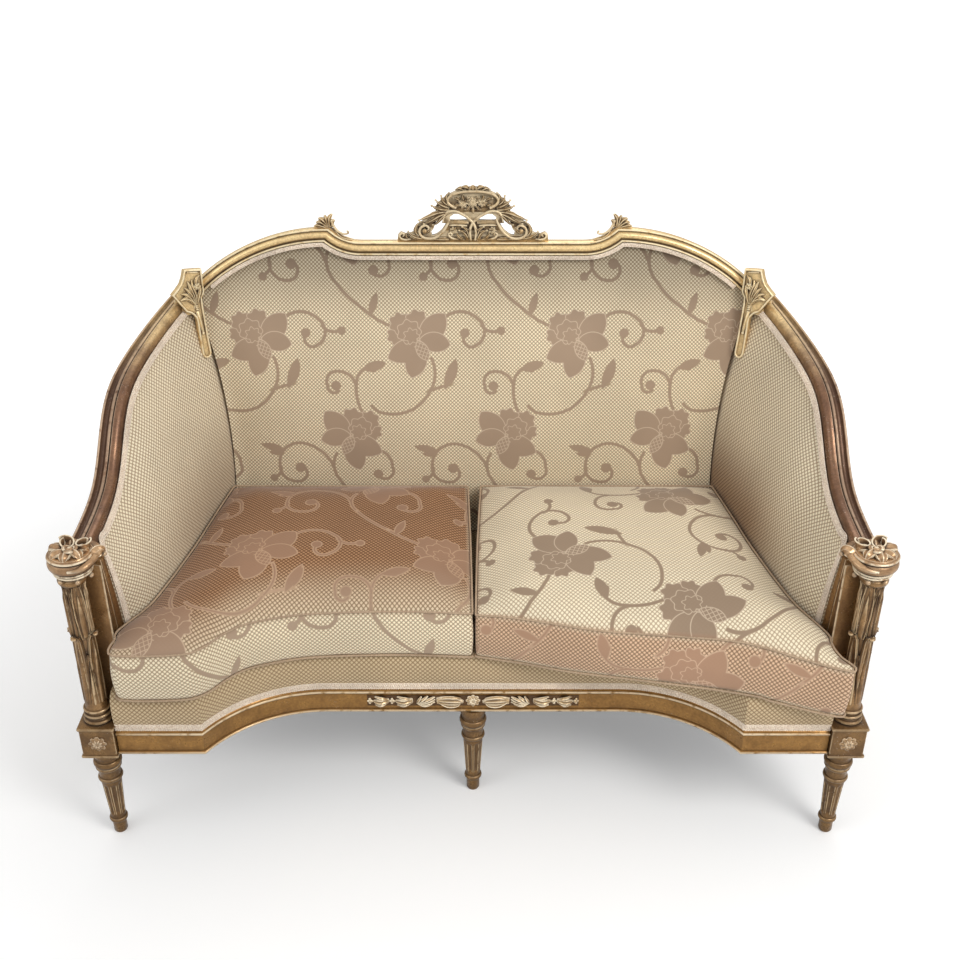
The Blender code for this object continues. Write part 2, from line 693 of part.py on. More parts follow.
# Corner blocks at the ends of the crest rail: a shield with a long tail, on a deep head
corner_outline = [
    (-0.0240, 0.0700), (0.0127, 0.0690), (0.0140, 0.0420), (0.0151, 0.0217), (0.0098, 0.0106),
    (0.0100, -0.0040), (0.0125, -0.0338), (0.0162, -0.0714), (0.0205, -0.1080), (0.0165, -0.1170),
    (0.0090, -0.1190), (0.0020, -0.1140), (-0.0002, -0.1060), (-0.0021, -0.0841), (-0.0040, -0.0585),
    (-0.0056, -0.0361), (-0.0100, -0.0268), (-0.0170, -0.0204), (-0.0262, -0.0169), (-0.0530, 0.0200),
    (-0.0425, 0.0306), (-0.0336, 0.0412), (-0.0284, 0.0536),
]
head_outline = [
    (-0.030, 0.010), (-0.014, 0.028), (0.012, 0.028), (0.022, 0.006), (0.018, -0.030), (-0.012, -0.036),
    (-0.034, -0.014),
]
forward = Matrix.Rotation(CORNER_TURN, 3, "Z") @ Vector((0, -1, 0))
corner_spot = Vector((-CORNER_X, 0.004, CORNER_HEIGHT)) + forward * (CORNER_FRONT - CORNER_PLATE / 2)
head_spot = Vector((-CORNER_X - CORNER_HEAD_SHIFT, (CREST_BACK - CORNER_HEAD_FRONT) / 2, CORNER_HEIGHT))


def corner_shield(name, hidden):
    mat = None if hidden else GILT
    shield = plate(name, [corner_outline], CORNER_PLATE, mat, back_frame, 1, False, hidden)
    shield.rotation_euler = (0, 0, CORNER_TURN)
    shield.location = corner_spot
    return shield


corner_left = corner_shield("corner_block_left", False)
shield_left = corner_shield("shield_left", True)
head_depth = CREST_BACK + CORNER_HEAD_FRONT
head_left = plate("head_left", [head_outline], head_depth, None, back_frame, 1, False, True)
head_left.location = head_spot
cut(corner_left, head_left, "UNION")
mirrored(corner_left, "corner_block_right")
shield_right = mirrored(shield_left, "shield_right")
head_right = mirrored(head_left, "head_right")

# Crest rail
crest_rail = sweep("crest_rail", crest_path(), show_profile(CREST_BACK), GILT, back_frame)
make_room(crest_rail, shield_left, head_left, shield_right, head_right)

# Arm knuckles and the carved roses on them
knuckle_profile = [
    (KNUCKLE_RADIUS - 0.008, KNUCKLE_TOP), (KNUCKLE_RADIUS - 0.002, KNUCKLE_TOP - 0.004),
    (KNUCKLE_RADIUS, KNUCKLE_TOP - 0.010), (KNUCKLE_RADIUS - 0.002, KNUCKLE_TOP - 0.016),
    (KNUCKLE_RADIUS - 0.006, KNUCKLE_TOP - 0.019), (KNUCKLE_RADIUS - 0.008, KNUCKLE_TOP - 0.030),
    (KNUCKLE_RADIUS - 0.004, KNUCKLE_TOP - 0.040), (KNUCKLE_RADIUS - 0.0015, KNUCKLE_TOP - 0.047),
    (KNUCKLE_RADIUS - 0.004, KNUCKLE_TOP - 0.055), (KNUCKLE_RADIUS - 0.012, KNUCKLE_BOTTOM),
]
knuckle_left = turned("arm_knuckle_left", knuckle_profile, GILT, 20)
knuckle_left.location = (-KNUCKLE_X, POST_Y, 0)
rose_left = carved_flower("knuckle_rose_left", ROSE_RADIUS, ROSE_HEIGHT, 6, 0.30, GILT)
rose_left.location = (-KNUCKLE_X, POST_Y, KNUCKLE_TOP + CLEARANCE)
mirrored(knuckle_left, "arm_knuckle_right")
mirrored(rose_left, "knuckle_rose_right")

# Arm rails, swept from the knuckle up to the corner block
half_arm = ARM_RAIL_DEPTH / 2
arm_profile = [(side + half_arm, high) for side, high in show_profile(ARM_RAIL_DEPTH)]
arm_path = [arm_point(step / ARM_STATIONS) for step in range(ARM_STATIONS + 1)]
arm_left = sweep("arm_rail_left", arm_path, arm_profile, GILT)
make_room(arm_left, knuckle_left, shield_left, head_left)
mirrored(arm_left, "arm_rail_right")

# Carved crest and the leaves on the ears
crest_half = [
    (0.158, 0.004), (0.157, 0.012), (0.149, 0.018), (0.140, 0.014), (0.131, 0.016), (0.120, 0.024),
    (0.115, 0.039), (0.101, 0.050), (0.086, 0.057), (0.086, 0.068), (0.073, 0.081), (0.060, 0.090),
    (0.044, 0.095), (0.034, 0.101), (0.020, 0.104),
]
crest_outline = [(0.0, -0.006), (0.08, -0.006), (0.15, -0.006)] + crest_half + [(0.0, 0.105)]
crest_outline += [(-x, z) for x, z in reversed(crest_half)] + [(-0.15, -0.006), (-0.08, -0.006)]
upper_hole = [
    (0.0526, 0.0454), (0.0443, 0.0530), (0.0285, 0.0522), (0.0155, 0.0440), (0.0110, 0.0386),
    (0.0338, 0.0368),
]
lower_hole = [
    (0.0757, 0.0427), (0.0652, 0.0440), (0.0573, 0.0346), (0.0626, 0.0238), (0.0731, 0.0143),
    (0.0849, 0.0095), (0.0875, 0.0157), (0.0835, 0.0292),
]
holes = [upper_hole, lower_hole]
holes += [[(-x, z) for x, z in hole] for hole in holes]
crest_top = max(high for side, high in SHOW_MOULDING)
crest_carving = plate("crest_carving", [crest_outline] + holes, CREST_CARVING_DEPTH, GILT, back_frame)
crest_carving.location = (0, CREST_CARVING_BEHIND, CREST_HEIGHT + crest_top + CLEARANCE)
bed_top = CREST_HEIGHT + crest_top + CLEARANCE
carving_bed = box("carving_bed", (-0.3, -0.1, bed_top - 0.1), (0.3, 0.1, bed_top), None, back_frame, True)
cut(crest_carving, carving_bed)

ear_outline = [
    (-0.0367, -0.0010), (-0.0293, 0.0035), (-0.0229, 0.0113), (-0.0202, 0.0189), (-0.0138, 0.0208),
    (-0.0073, 0.0236), (-0.0027, 0.0265), (0.0000, 0.0227), (0.0055, 0.0284), (0.0128, 0.0284),
    (0.0156, 0.0189), (0.0202, 0.0113), (0.0229, -0.0028), (0.0312, -0.0075), (0.0403, -0.0066),
    (0.0449, -0.0095), (0.0513, -0.0170), (0.0560, -0.0230), (0.0300, -0.0180), (0.0000, -0.0080),
]
ear_left = plate("ear_leaf_left", [ear_outline], EAR_LEAF_DEPTH, GILT, back_frame, 2)
ear_left.location = (-EAR_X, CREST_CARVING_BEHIND, CREST_HEIGHT + EAR_RISE + crest_top)
make_room(ear_left, crest_rail)
mirrored(ear_left, "ear_leaf_right")

# Upholstery of the wings

def wing_line(u):
    """Plan of the inner face of the wing pad at its bottom edge, front to back."""
    back = back_point(0, PAD_BACK, (WING_BOTTOM - BACK_PIVOT_HEIGHT) / math.cos(BACK_RAKE))
    front = Vector((-WING_FRONT_X, POST_Y + WING_FRONT_Y))
    end = Vector((-WING_BACK_X, back.y))
    near = Vector((-WING_NEAR_X, lerp(front.y, end.y, 0.22)))
    far = Vector((-WING_FAR_X, lerp(front.y, end.y, 0.66)))
    a = (1 - u) ** 3
    b = 3 * u * (1 - u) ** 2
    c = 3 * u * u * (1 - u)
    return front * a + near * b + far * c + end * u ** 3


def wing_top(u):
    """Where the wing pad meets the under side of the arm rail, with the inward direction there."""
    middle, inward, rise = arm_frame(lerp(1 / ARM_STATIONS, 1, u))
    return middle + inward * (half_arm - 0.005) - rise * (RAIL_HALF + CLEARANCE * 2), inward


def wing_point(u, v, depth):
    """A point of the wing pad: u front to back, v bottom to top, depth 0 on the inner face."""
    low = wing_line(u)
    high, inward = wing_top(u)
    flat = Vector((low.x, low.y, WING_BOTTOM)).lerp(high, v)
    ease = 1 - 0.85 * (1 - min(1.0, u / 0.16)) ** 2
    bulge = WING_BULGE * 4 * v * (1 - v) * ease
    point = BACK_MATRIX.inverted() @ (flat + inward * (bulge * (1 - depth) - WING_THICKNESS * depth))
    point.y = min(point.y, PAD_BACK) if u < 0.999 else PAD_BACK
    return BACK_MATRIX @ point


wing_left = block("inside_wing_left", (ARM_STATIONS - 1, 6, 1), wing_point, DAMASK)
make_room(wing_left, shield_left, head_left)
mirrored(wing_left, "inside_wing_right")

# Arm facings: scooped boards between the posts and the wing pads
facing_bottom = BLOCK_TOP + CLEARANCE
facing_top = KNUCKLE_BOTTOM - CLEARANCE
facing_front_y = POST_Y + FACING_FRONT


def facing_shape(u, v, w):
    z = lerp(facing_bottom, facing_top, w)
    pad = wing_point(0, min(1.0, max(0.0, (z - WING_BOTTOM) / (wing_top(0)[0].z - WING_BOTTOM))), 0)
    y = lerp(facing_front_y, pad.y - 2 * CLEARANCE, v)
    inner = lerp(-(WING_FRONT_X + 0.006), pad.x - 0.001, v) - 0.004 * math.sin(math.pi * v)
    cover_x = POST_X + RAIL_DEPTH / 2 - COVER_THICKNESS - 0.0025
    outer = lerp(-cover_x, pad.x - FACING_THICKNESS, v)
    return Vector((lerp(inner, outer, u), y, z))


facing_left = block("arm_facing_left", (1, 4, 6), facing_shape, GILT)
mirrored(facing_left, "arm_facing_right")

# Outside covers of the wings

def outside_wing_shape(u, v, w):
    column = round(u * ARM_STATIONS)
    outer = Vector((-(STILE_X + STILE_WIDTH / 2 + SEAT_GAP + COVER_THICKNESS), 0, 0))
    if column < ARM_STATIONS:
        y = lerp(POST_Y + half_block + 0.001, SIDE_BACK_Y, column / (ARM_STATIONS - 1))
        low = Vector((-side_rail_x(y) - RAIL_DEPTH / 2 + 0.001, y, RAIL_TOP + CLEARANCE))
        middle, inward, rise = arm_frame((column + 1) / ARM_STATIONS)
        high = middle - inward * (half_arm - 0.004) - rise * (RAIL_HALF + CLEARANCE * 2)
    else:
        low = back_point(outer.x, STILE_BACK, (RAIL_TOP - BACK_PIVOT_HEIGHT) / math.cos(BACK_RAKE) + 0.009)
        high = back_point(outer.x - 0.012, STILE_BACK, CORNER_HEIGHT)
    return low.lerp(high, v) + Vector((COVER_THICKNESS * w, 0, 0))


cover_left = block("outside_wing_left", (ARM_STATIONS, 3, 1), outside_wing_shape, DAMASK)
make_room(cover_left, head_left)
mirrored(cover_left, "outside_wing_right")

# Inside back pad between the wings

def wing_inner_x(height):
    """Half width between the wing pads at the back, at a height in the raked frame."""
    z = back_point(0, 0, height).z
    top = wing_top(1)[0].z
    share = min(1.0, max(0.0, (z - WING_BOTTOM) / (top - WING_BOTTOM)))
    return -wing_point(1, share, 0).x


def crest_bed(x):
    """Height that a cover runs up to, just inside the crest rail, before it is fitted to the rail."""
    return shoulder_height(x) - 0.75 * RAIL_HALF


def back_column(u, reach):
    """Places across the back that follow the breaks of the crest rail."""
    breaks = [0, CREST_FLAT_X / 2, CREST_FLAT_X, (CREST_FLAT_X + EAR_X) / 2, EAR_X]
    breaks += [lerp(EAR_X, reach, share) for share in (0.28, 0.54, 0.78, 1)]
    index = round(u * BACK_COLUMNS) - BACK_COLUMNS // 2
    return math.copysign(breaks[abs(index)], index)


def back_pad_shape(u, v, w):
    edge_top = crest_bed(wing_inner_x(CORNER_HEIGHT))
    reach = wing_inner_x(lerp(BACK_BOTTOM, edge_top, v)) - 3 * CLEARANCE
    if v > 0.8:
        reach = min(reach, CORNER_X - 0.020)
    x = back_column(u, reach)
    height = lerp(BACK_BOTTOM, crest_bed(x), v)
    across = 1 - abs(x / reach) ** 4
    crown = BACK_CROWN * across * math.sin(math.pi * v)
    return back_point(x, PAD_BACK if w > 0.5 else 0.006 * v ** 6 - 0.001 - crown, height)


inside_back = block("inside_back", (BACK_COLUMNS, 8, 1), back_pad_shape, DAMASK)
make_room(inside_back, crest_rail, shield_left, head_left, shield_right, head_right)

# Back webbing, stay rail and outside back cover

def strap_lattice(name, straps, mat):
    """Straps fused where they cross into one lattice."""
    first = box(name, *straps[0], mat)
    for index, strap in enumerate(straps[1:]):
        cut(first, box(f"{name}_strap_{index}", *strap, None, None, True), "UNION")
    return first


web_back = WEB_FRONT + WEB_THICKNESS
back_straps = []
for level in BACK_STRAP_HEIGHTS:
    back_straps.append(((-stile_inner_x - 0.03, WEB_FRONT, level - STRAP_WIDTH / 2),
                        (stile_inner_x + 0.03, web_back, level + STRAP_WIDTH / 2)))
for x in BACK_STRAP_COLUMNS:
    back_straps.append(((x - STRAP_WIDTH / 2, WEB_FRONT, STAY_RAIL_HEIGHT - 0.015),
                        (x + STRAP_WIDTH / 2, web_back, CREST_HEIGHT - RAIL_HALF - 3 * CLEARANCE)))
back_webbing = strap_lattice("back_webbing", back_straps, JUTE)
back_webbing.parent = back_frame
for cutter in [item for item in CUTTERS.objects if item.name.startswith("back_webbing_strap")]:
    cutter.parent = back_frame

stay_low = (-stile_inner_x + CLEARANCE, STILE_FRONT, STAY_RAIL_HEIGHT - STAY_RAIL_WIDTH / 2)
stay_high = (stile_inner_x - CLEARANCE, STILE_BACK, STAY_RAIL_HEIGHT + STAY_RAIL_WIDTH / 2)
stay_rail = box("back_stay_rail", stay_low, stay_high, BEECH)
stay_rail.parent = back_frame


def outside_back_shape(u, v, w):
    reach = lerp(STILE_X + STILE_WIDTH / 2, CREST_END_X - 0.012, v)
    x = back_column(u, reach)
    height = lerp(0.003, crest_bed(x), v)
    return back_point(x, lerp(COVER_FRONT, COVER_FRONT + COVER_THICKNESS, w), height)


outside_back = block("outside_back", (BACK_COLUMNS, 2, 1), outside_back_shape, DAMASK)
make_room(outside_back, head_left, head_right, crest_rail)

# Seat webbing and dust cover under the rails
seat_straps = []
strap_back = BACK_RAIL_Y + STILE_DEPTH - STRAP_MARGIN
inner_x, outer_x = SPRING_COLUMNS
strap_places = [inner_x, (inner_x + outer_x) / 2, outer_x]
for x in [-x for x in strap_places] + strap_places:
    reach = front_y(abs(x) - STRAP_WIDTH / 2) + STRAP_MARGIN
    seat_straps.append(((x - STRAP_WIDTH / 2, reach, WEB_TOP - WEB_THICKNESS),
                        (x + STRAP_WIDTH / 2, strap_back, WEB_TOP)))
spring_rows = (FRONT_FLAT_Y + SPRING_INSET, BACK_RAIL_Y - SPRING_INSET)
for y in (spring_rows[0], (spring_rows[0] + spring_rows[1]) / 2, spring_rows[1]):
    reach = side_rail_x(y + STRAP_WIDTH / 2) + RAIL_DEPTH / 2 - STRAP_MARGIN
    seat_straps.append(((-reach, y - STRAP_WIDTH / 2, WEB_TOP - WEB_THICKNESS),
                        (reach, y + STRAP_WIDTH / 2, WEB_TOP)))
strap_lattice("seat_webbing", seat_straps, JUTE)

cover_line = [(x, y + STRAP_MARGIN) for x, y in front_line()[1:-1]]
cover_x = block_inner_x - 0.010
notch_front = POST_Y + BLOCK_SIZE
notch_back = BACK_RAIL_Y - 0.012
cover_left_edge = [
    (-(stile_inner_x - 0.004), strap_back), (-(stile_inner_x - 0.004), notch_back),
    (-(side_rail_x(notch_back) + RAIL_DEPTH / 2 - STRAP_MARGIN), notch_back),
    (-(side_rail_x(notch_front) + RAIL_DEPTH / 2 - STRAP_MARGIN), notch_front),
    (-cover_x, notch_front), (-cover_x, POST_Y - RAIL_FRONT + STRAP_MARGIN),
]
cover_outline = cover_left_edge + cover_line + [(-x, y) for x, y in reversed(cover_left_edge)]
dust_cover = floor_plate("dust_cover", cover_outline, DUST_TOP - 0.0008, DUST_TOP, CAMBRIC)
make_room(dust_cover, centre_leg)

# Hourglass seat springs between the webbing and the deck
spring_low = WEB_TOP + CLEARANCE + SPRING_WIRE / 2
spring_high = DECK_BOTTOM - CLEARANCE - SPRING_WIRE / 2


def spring_points():
    count = int(SPRING_TURNS * SPRING_POINTS_PER_TURN)
    points = []
    for index in range(count + 1):
        t = index / count
        lift = min(1.0, max(0.0, (t - 0.14) / 0.72))
        radius = SPRING_WAIST + (SPRING_RADIUS - SPRING_WAIST) * abs(2 * t - 1) ** 1.3
        radius -= SPRING_TUCK * max(0.0, 1 - 4 * min(t, 1 - t))
        angle = 2 * math.pi * index / SPRING_POINTS_PER_TURN
        height = lerp(spring_low, spring_high, lift)
        points.append((radius * math.cos(angle), radius * math.sin(angle), height))
    return points


def least_gap(points):
    """Free space between the turns of the wire, more than half a turn apart."""
    apart = SPRING_POINTS_PER_TURN // 2
    gaps = []
    for i, first in enumerate(points):
        gaps += [(Vector(first) - Vector(second)).length for second in points[i + apart:]]
    return min(gaps) - SPRING_WIRE


def spring(name, x, y):
    curve = bpy.data.curves.new(name, "CURVE")
    curve.dimensions = "3D"
    curve.bevel_depth = SPRING_WIRE / 2
    curve.bevel_resolution = 1
    curve.use_fill_caps = True
    points = spring_points()
    spline = curve.splines.new("POLY")
    spline.points.add(len(points) - 1)
    for point, place in zip(spline.points, points):
        point.co = (*place, 1.0)
    item = add_object(name, curve, STEEL)
    item.location = (x, y, 0)
    return item


print("least gap between spring turns (mm):", round(least_gap(spring_points()) * 1000, 2))
for row, y in zip(("front", "back"), spring_rows):
    for place, x in (("inner", inner_x), ("outer", outer_x)):
        spring(f"spring_{row}_left_{place}", -x, y)
        spring(f"spring_{row}_right_{place}", x, y)

# Upholstered border on the front rail
border_profile = [
    (-BORDER_DEPTH, 0.0), (-BORDER_SET_BACK, 0.0), (-BORDER_SET_BACK, GIMP_HEIGHT),
    (0.0005, GIMP_HEIGHT + 0.007), (0.0015, BORDER_HEIGHT / 2), (-0.0010, BORDER_HEIGHT - 0.018),
    (-0.0060, BORDER_HEIGHT - 0.004), (-0.0130, BORDER_HEIGHT), (-BORDER_DEPTH, BORDER_HEIGHT),
]
front_border = sweep("front_border", front_path(RAIL_TOP + CLEARANCE), border_profile, DAMASK)

# Sprung seat deck behind the border
deck_back_y = back_point(0, PAD_BACK - CLEARANCE, (DECK_BOTTOM - BACK_PIVOT_HEIGHT) / math.cos(BACK_RAKE)).y


def clear_half_width(y, low, high):
    """Half width that is free between the wing pads and facings, over a band of heights."""
    free = WING_FRONT_X + 0.006 if y > POST_Y + 0.02 else KNUCKLE_X - KNUCKLE_RADIUS - LIFT_CLEARANCE
    for step in range(41):
        for level in range(5):
            u = step / 40
            top = wing_top(u)[0].z
            z = max(WING_BOTTOM, lerp(low, high, level / 4))
            point = wing_point(u, (z - WING_BOTTOM) / (top - WING_BOTTOM), 0)
            if abs(point.y - y) < 0.012:
                free = min(free, -point.x)
    return free


def deck_shape(u, v, w):
    nominal = lerp(POST_Y - RAIL_FRONT + BORDER_DEPTH, deck_back_y, v)
    reach = min(WING_FRONT_X, clear_half_width(nominal, DECK_BOTTOM, DECK_TOP)) - 0.003
    x = lerp(-reach, reach, u)
    y = lerp(front_y(x) + BORDER_DEPTH * 0.6, deck_back_y, v)
    return Vector((x, y, lerp(DECK_BOTTOM, DECK_TOP, w)))


seat_deck = block("seat_deck", (16, 4, 1), deck_shape, DAMASK)
make_room(seat_deck, front_border)

# Two loose cushions: boxed, crowned and drawn in at the sides
cushion_back_y = back_point(0, -0.002, (CUSHION_BOTTOM - BACK_PIVOT_HEIGHT) / math.cos(BACK_RAKE)).y
cushion_sides = {}
for index in range(9):
    y = lerp(POST_Y - RAIL_FRONT - CUSHION_OVERHANG, cushion_back_y, index / 8)
    free = clear_half_width(y, CUSHION_BOTTOM, CUSHION_BOTTOM + CUSHION_THICKNESS)
    cushion_sides[index] = free - CUSHION_GAP


def cushion_shape(slump):
    """Left cushion in its box; slump pulls the serpentine front towards a straight line."""
    def shape(u, v, w):
        nominal = v * 8
        low = min(7, int(nominal))
        reach = lerp(cushion_sides[low], cushion_sides[low + 1], nominal - low)
        x = -lerp(reach, CUSHION_GAP / 2, u)
        corner_y = POST_Y - RAIL_FRONT - CUSHION_OVERHANG
        middle_y = FRONT_FLAT_Y - CUSHION_OVERHANG * 0.5
        chord = lerp(middle_y, corner_y - CORNER_SLUMP * slump, min(1.0, abs(x) / RAIL_END_X) ** 1.2)
        front = lerp(front_y(x) - CUSHION_OVERHANG * 0.6, chord, slump)
        y = lerp(front, cushion_back_y - CUSHION_GAP / 2, v)
        plump = (math.sin(math.pi * u) * math.sin(math.pi * v)) ** 0.5
        if w > 0.75:
            z = CUSHION_BOTTOM + CUSHION_THICKNESS + CUSHION_CROWN * plump
        elif w < 0.25:
            z = CUSHION_BOTTOM
        else:
            z = CUSHION_BOTTOM + CUSHION_THICKNESS * w
            x += CUSHION_DRAW * (1 if u < 0.02 else -1 if u > 0.98 else 0)
            y += CUSHION_DRAW * (1 if v < 0.02 else -1 if v > 0.98 else 0)
        return Vector((x, y, z))
    return shape


cushion_left = block("seat_cushion_left", (12, 8, 2), cushion_shape(0.0), CUSHION_CLOTH)
cushion_right = block("slumped", (12, 8, 2), cushion_shape(0.75), CUSHION_CLOTH)
mirrored(cushion_right, "seat_cushion_right")
bpy.data.objects.remove(cushion_right, do_unlink=True)
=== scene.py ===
# Gilt two-seater sofa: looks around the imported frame. Metres, +Z up.
import json
import math

import bmesh
import bpy
import numpy as np
from mathutils import Matrix, Vector


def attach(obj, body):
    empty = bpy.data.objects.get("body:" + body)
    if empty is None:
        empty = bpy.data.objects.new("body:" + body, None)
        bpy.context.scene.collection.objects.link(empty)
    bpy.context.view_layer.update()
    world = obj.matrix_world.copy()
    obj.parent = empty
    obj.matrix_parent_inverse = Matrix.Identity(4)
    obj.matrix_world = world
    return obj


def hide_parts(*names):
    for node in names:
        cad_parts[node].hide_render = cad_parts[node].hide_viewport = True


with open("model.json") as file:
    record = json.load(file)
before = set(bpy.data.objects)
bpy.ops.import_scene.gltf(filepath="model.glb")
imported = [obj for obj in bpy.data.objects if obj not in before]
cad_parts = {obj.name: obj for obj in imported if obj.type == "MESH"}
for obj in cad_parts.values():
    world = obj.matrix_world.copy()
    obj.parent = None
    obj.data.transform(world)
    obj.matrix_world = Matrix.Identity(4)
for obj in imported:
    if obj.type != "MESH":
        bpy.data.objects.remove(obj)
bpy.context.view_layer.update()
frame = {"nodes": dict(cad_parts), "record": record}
scene = bpy.context.scene
print("frame loaded:", len(frame["nodes"]), "nodes")

# sizes shared with the frame
sofa = {
    "postX": 0.695, "postY": -0.324, "knuckleX": 0.69, "knuckleBottom": 0.6023,
    "railBottom": 0.215, "railFront": 0.022, "railDepth": 0.038, "railHalf": 0.019,
    "frontCornerX": 0.502, "arcRun": 0.22, "recess": 0.12, "railEndX": 0.6617,
    "backY": 0.208, "pivotZ": 0.25, "rake": math.radians(8.8), "padBack": 0.0214,
    "crestHeight": 0.7287, "crestFlatX": 0.23, "crestUnder": 0.0105, "crestEndX": 0.6, "crestBack": 0.05695,
    "earX": 0.3, "earRise": 0.027, "shoulderRadius": 0.39,
    "cornerX": 0.582, "cornerHeight": 0.622, "cornerTurn": math.radians(30),
}
# middle of a side seat rail in plan, front end and back end
sideRail = [(0.695, -0.2907), (0.583, 0.2315)]
rakeMatrix = Matrix.Translation((0, sofa["backY"], sofa["pivotZ"])) @ Matrix.Rotation(-sofa["rake"], 4, "X")
facingFront = Matrix.Rotation(math.radians(90), 4, "X")


def backPoint(x, behind, height):
    return np.array(rakeMatrix @ Vector((x, behind, height)))


def lerp(a, b, t):
    return a + (b - a) * t


def smoothStep(a, b, x):
    t = np.clip((x - a) / (b - a), 0, 1)
    return t * t * (3 - 2 * t)


def smoothLine(points, count):
    # Catmull-Rom through the points, then even spacing
    pts = np.array(points, float)
    ext = np.vstack([2 * pts[0] - pts[1], pts, 2 * pts[-1] - pts[-2]])
    t = np.linspace(0, 1, 17)[:-1, None]
    out = []
    for i in range(len(ext) - 3):
        p0, p1, p2, p3 = ext[i:i + 4]
        out.append(0.5 * (2 * p1 + (p2 - p0) * t + (2 * p0 - 5 * p1 + 4 * p2 - p3) * t ** 2
                          + (3 * p1 - p0 - 3 * p2 + p3) * t ** 3))
    return evenLine(np.vstack(out + [pts[-1:]]), count)


def runLength(points):
    # running length along a line of points
    return np.concatenate([[0], np.cumsum(np.linalg.norm(np.diff(points, axis=0), axis=1))])


def evenLine(dense, count):
    dense = np.array(dense, float)
    run = runLength(dense)
    at = np.linspace(0, run[-1], count)
    return np.column_stack([np.interp(at, run, dense[:, k]) for k in range(dense.shape[1])])


def unit(v):
    return v / np.maximum(np.linalg.norm(v, axis=-1, keepdims=True), 1e-12)


def tangents(path, closed=False):
    if closed:
        return unit(np.roll(path, -1, 0) - np.roll(path, 1, 0))
    return unit(np.gradient(path, axis=0))


# mesh building: lists of (points, faces) are gathered and joined into one piece
def gridFaces(rows, cols, closedRows=False, closedCols=False, flip=False):
    r = np.arange(rows if closedRows else rows - 1)
    c = np.arange(cols if closedCols else cols - 1)
    rr, cc = np.meshgrid(r, c, indexing="ij")
    r2, c2 = (rr + 1) % rows, (cc + 1) % cols
    quads = np.stack([rr * cols + cc, r2 * cols + cc, r2 * cols + c2, rr * cols + c2], -1).reshape(-1, 4)
    return quads[:, ::-1] if flip else quads


def rodFaces(rows, count, flip=False, caps=(1, -1)):
    # rings of points closed round, with a face at each end; caps gives the way round of each
    ends = np.arange(count)[::caps[0]], ((rows - 1) * count + np.arange(count))[::caps[1]]
    sides = gridFaces(rows, count, closedCols=True, flip=flip)
    return sides.tolist() + [end.tolist() for end in ends]


def shell(front, back):
    # closed sheet between two grids of points
    rows, cols = front.shape[:2]
    n = rows * cols
    faces = [gridFaces(rows, cols), gridFaces(rows, cols, flip=True) + n]
    ids = np.arange(n).reshape(rows, cols)
    rim = np.concatenate([ids[0, :-1], ids[:-1, -1], ids[-1, :0:-1], ids[:0:-1, 0]])
    after = np.roll(rim, -1)
    faces.append(np.stack([rim, after, after + n, rim + n], -1)[:, ::-1])
    return np.vstack([front.reshape(-1, 3), back.reshape(-1, 3)]), np.vstack(faces)


def tube(path, radius, sides=10, closed=False, up=None, squash=1.0):
    # round or flattened rod along a path, capped at its ends or closed into a loop
    path = np.array(path, float)
    rows = len(path)
    along = tangents(path, closed)
    up = np.array((0.0, -1.0, 0.12) if up is None else up, float)
    side = unit(np.cross(along, up))
    rise = np.cross(side, along)
    angle = np.linspace(0, 2 * math.pi, sides, endpoint=False)
    r = np.broadcast_to(np.array(radius, float), (rows,))[:, None, None]
    ring = side[:, None] * np.cos(angle)[:, None] + rise[:, None] * np.sin(angle)[:, None] * squash
    verts = (path[:, None] + ring * r).reshape(-1, 3)
    if closed:
        return verts, gridFaces(rows, sides, closedRows=True, closedCols=True, flip=True)
    return verts, rodFaces(rows, sides, flip=True)


def lathe(profile, segments=64, shape=None):
    # profile (radius, height) from the bottom up; shape(angle, height, radius) may change the radius
    profile = np.array(profile, float)
    angle = np.linspace(0, 2 * math.pi, segments, endpoint=False)
    r = np.repeat(profile[:, :1], segments, 1)
    z = np.repeat(profile[:, 1:], segments, 1)
    a = np.repeat(angle[None], len(profile), 0)
    if shape is not None:
        r = shape(a, z, r)
    verts = np.stack([r * np.cos(a), r * np.sin(a), z], -1).reshape(-1, 3)
    return verts, rodFaces(len(profile), segments, flip=True, caps=(-1, 1))


def ball(centre, radius, squash=(1, 1, 1)):
    theta = np.linspace(0.02, math.pi - 0.02, 8)
    verts, faces = lathe(np.stack([np.sin(theta), -np.cos(theta)], -1), 12)
    return verts * radius * np.array(squash) + np.array(centre), faces


def leaf(spine, widths, facing, relief=0.0022, thick=0.0016, ribs=2.0, lobes=0, lobeDepth=0.25,
         rows=22, cols=9):
    # carved leaf or petal along a spine, ribbed and lobed, as one closed form
    path = smoothLine(spine, rows)
    along = tangents(path)
    side = unit(np.cross(along, np.array(facing, float)))
    rise = np.cross(side, along)
    t = np.linspace(0, 1, rows)
    w = np.interp(t, np.linspace(0, 1, len(widths)), widths)
    if lobes:
        w = w * (1 - lobeDepth * np.abs(np.cos(math.pi * lobes * t)) ** 0.7)
    s = np.linspace(-1, 1, cols)
    dome = relief * (1 - s ** 2) * np.sin(math.pi * np.clip(t, 0.06, 0.96))[:, None] ** 0.5
    waves = relief * 0.45 * np.cos(s * ribs * math.pi)
    dome = dome + waves * np.sin(math.pi * np.clip(t, 0.05, 0.95))[:, None]
    mid = path[:, None] + side[:, None] * (w[:, None] * s)[..., None]
    return shell(mid + rise[:, None] * dome[..., None], mid - rise[:, None] * thick)


def gather(parts):
    verts, faces, base = [], [], 0
    for points, cells in parts:
        verts.append(np.array(points, float))
        faces += [[int(i) + base for i in cell] for cell in cells]
        base += len(points)
    return np.vstack(verts), faces


def flipX(parts):
    return [(np.array(p, float) * (-1, 1, 1), [list(reversed(list(c))) for c in f]) for p, f in parts]


def placed(points, matrix):
    m = np.array(matrix)
    return points @ m[:3, :3].T + m[:3, 3]


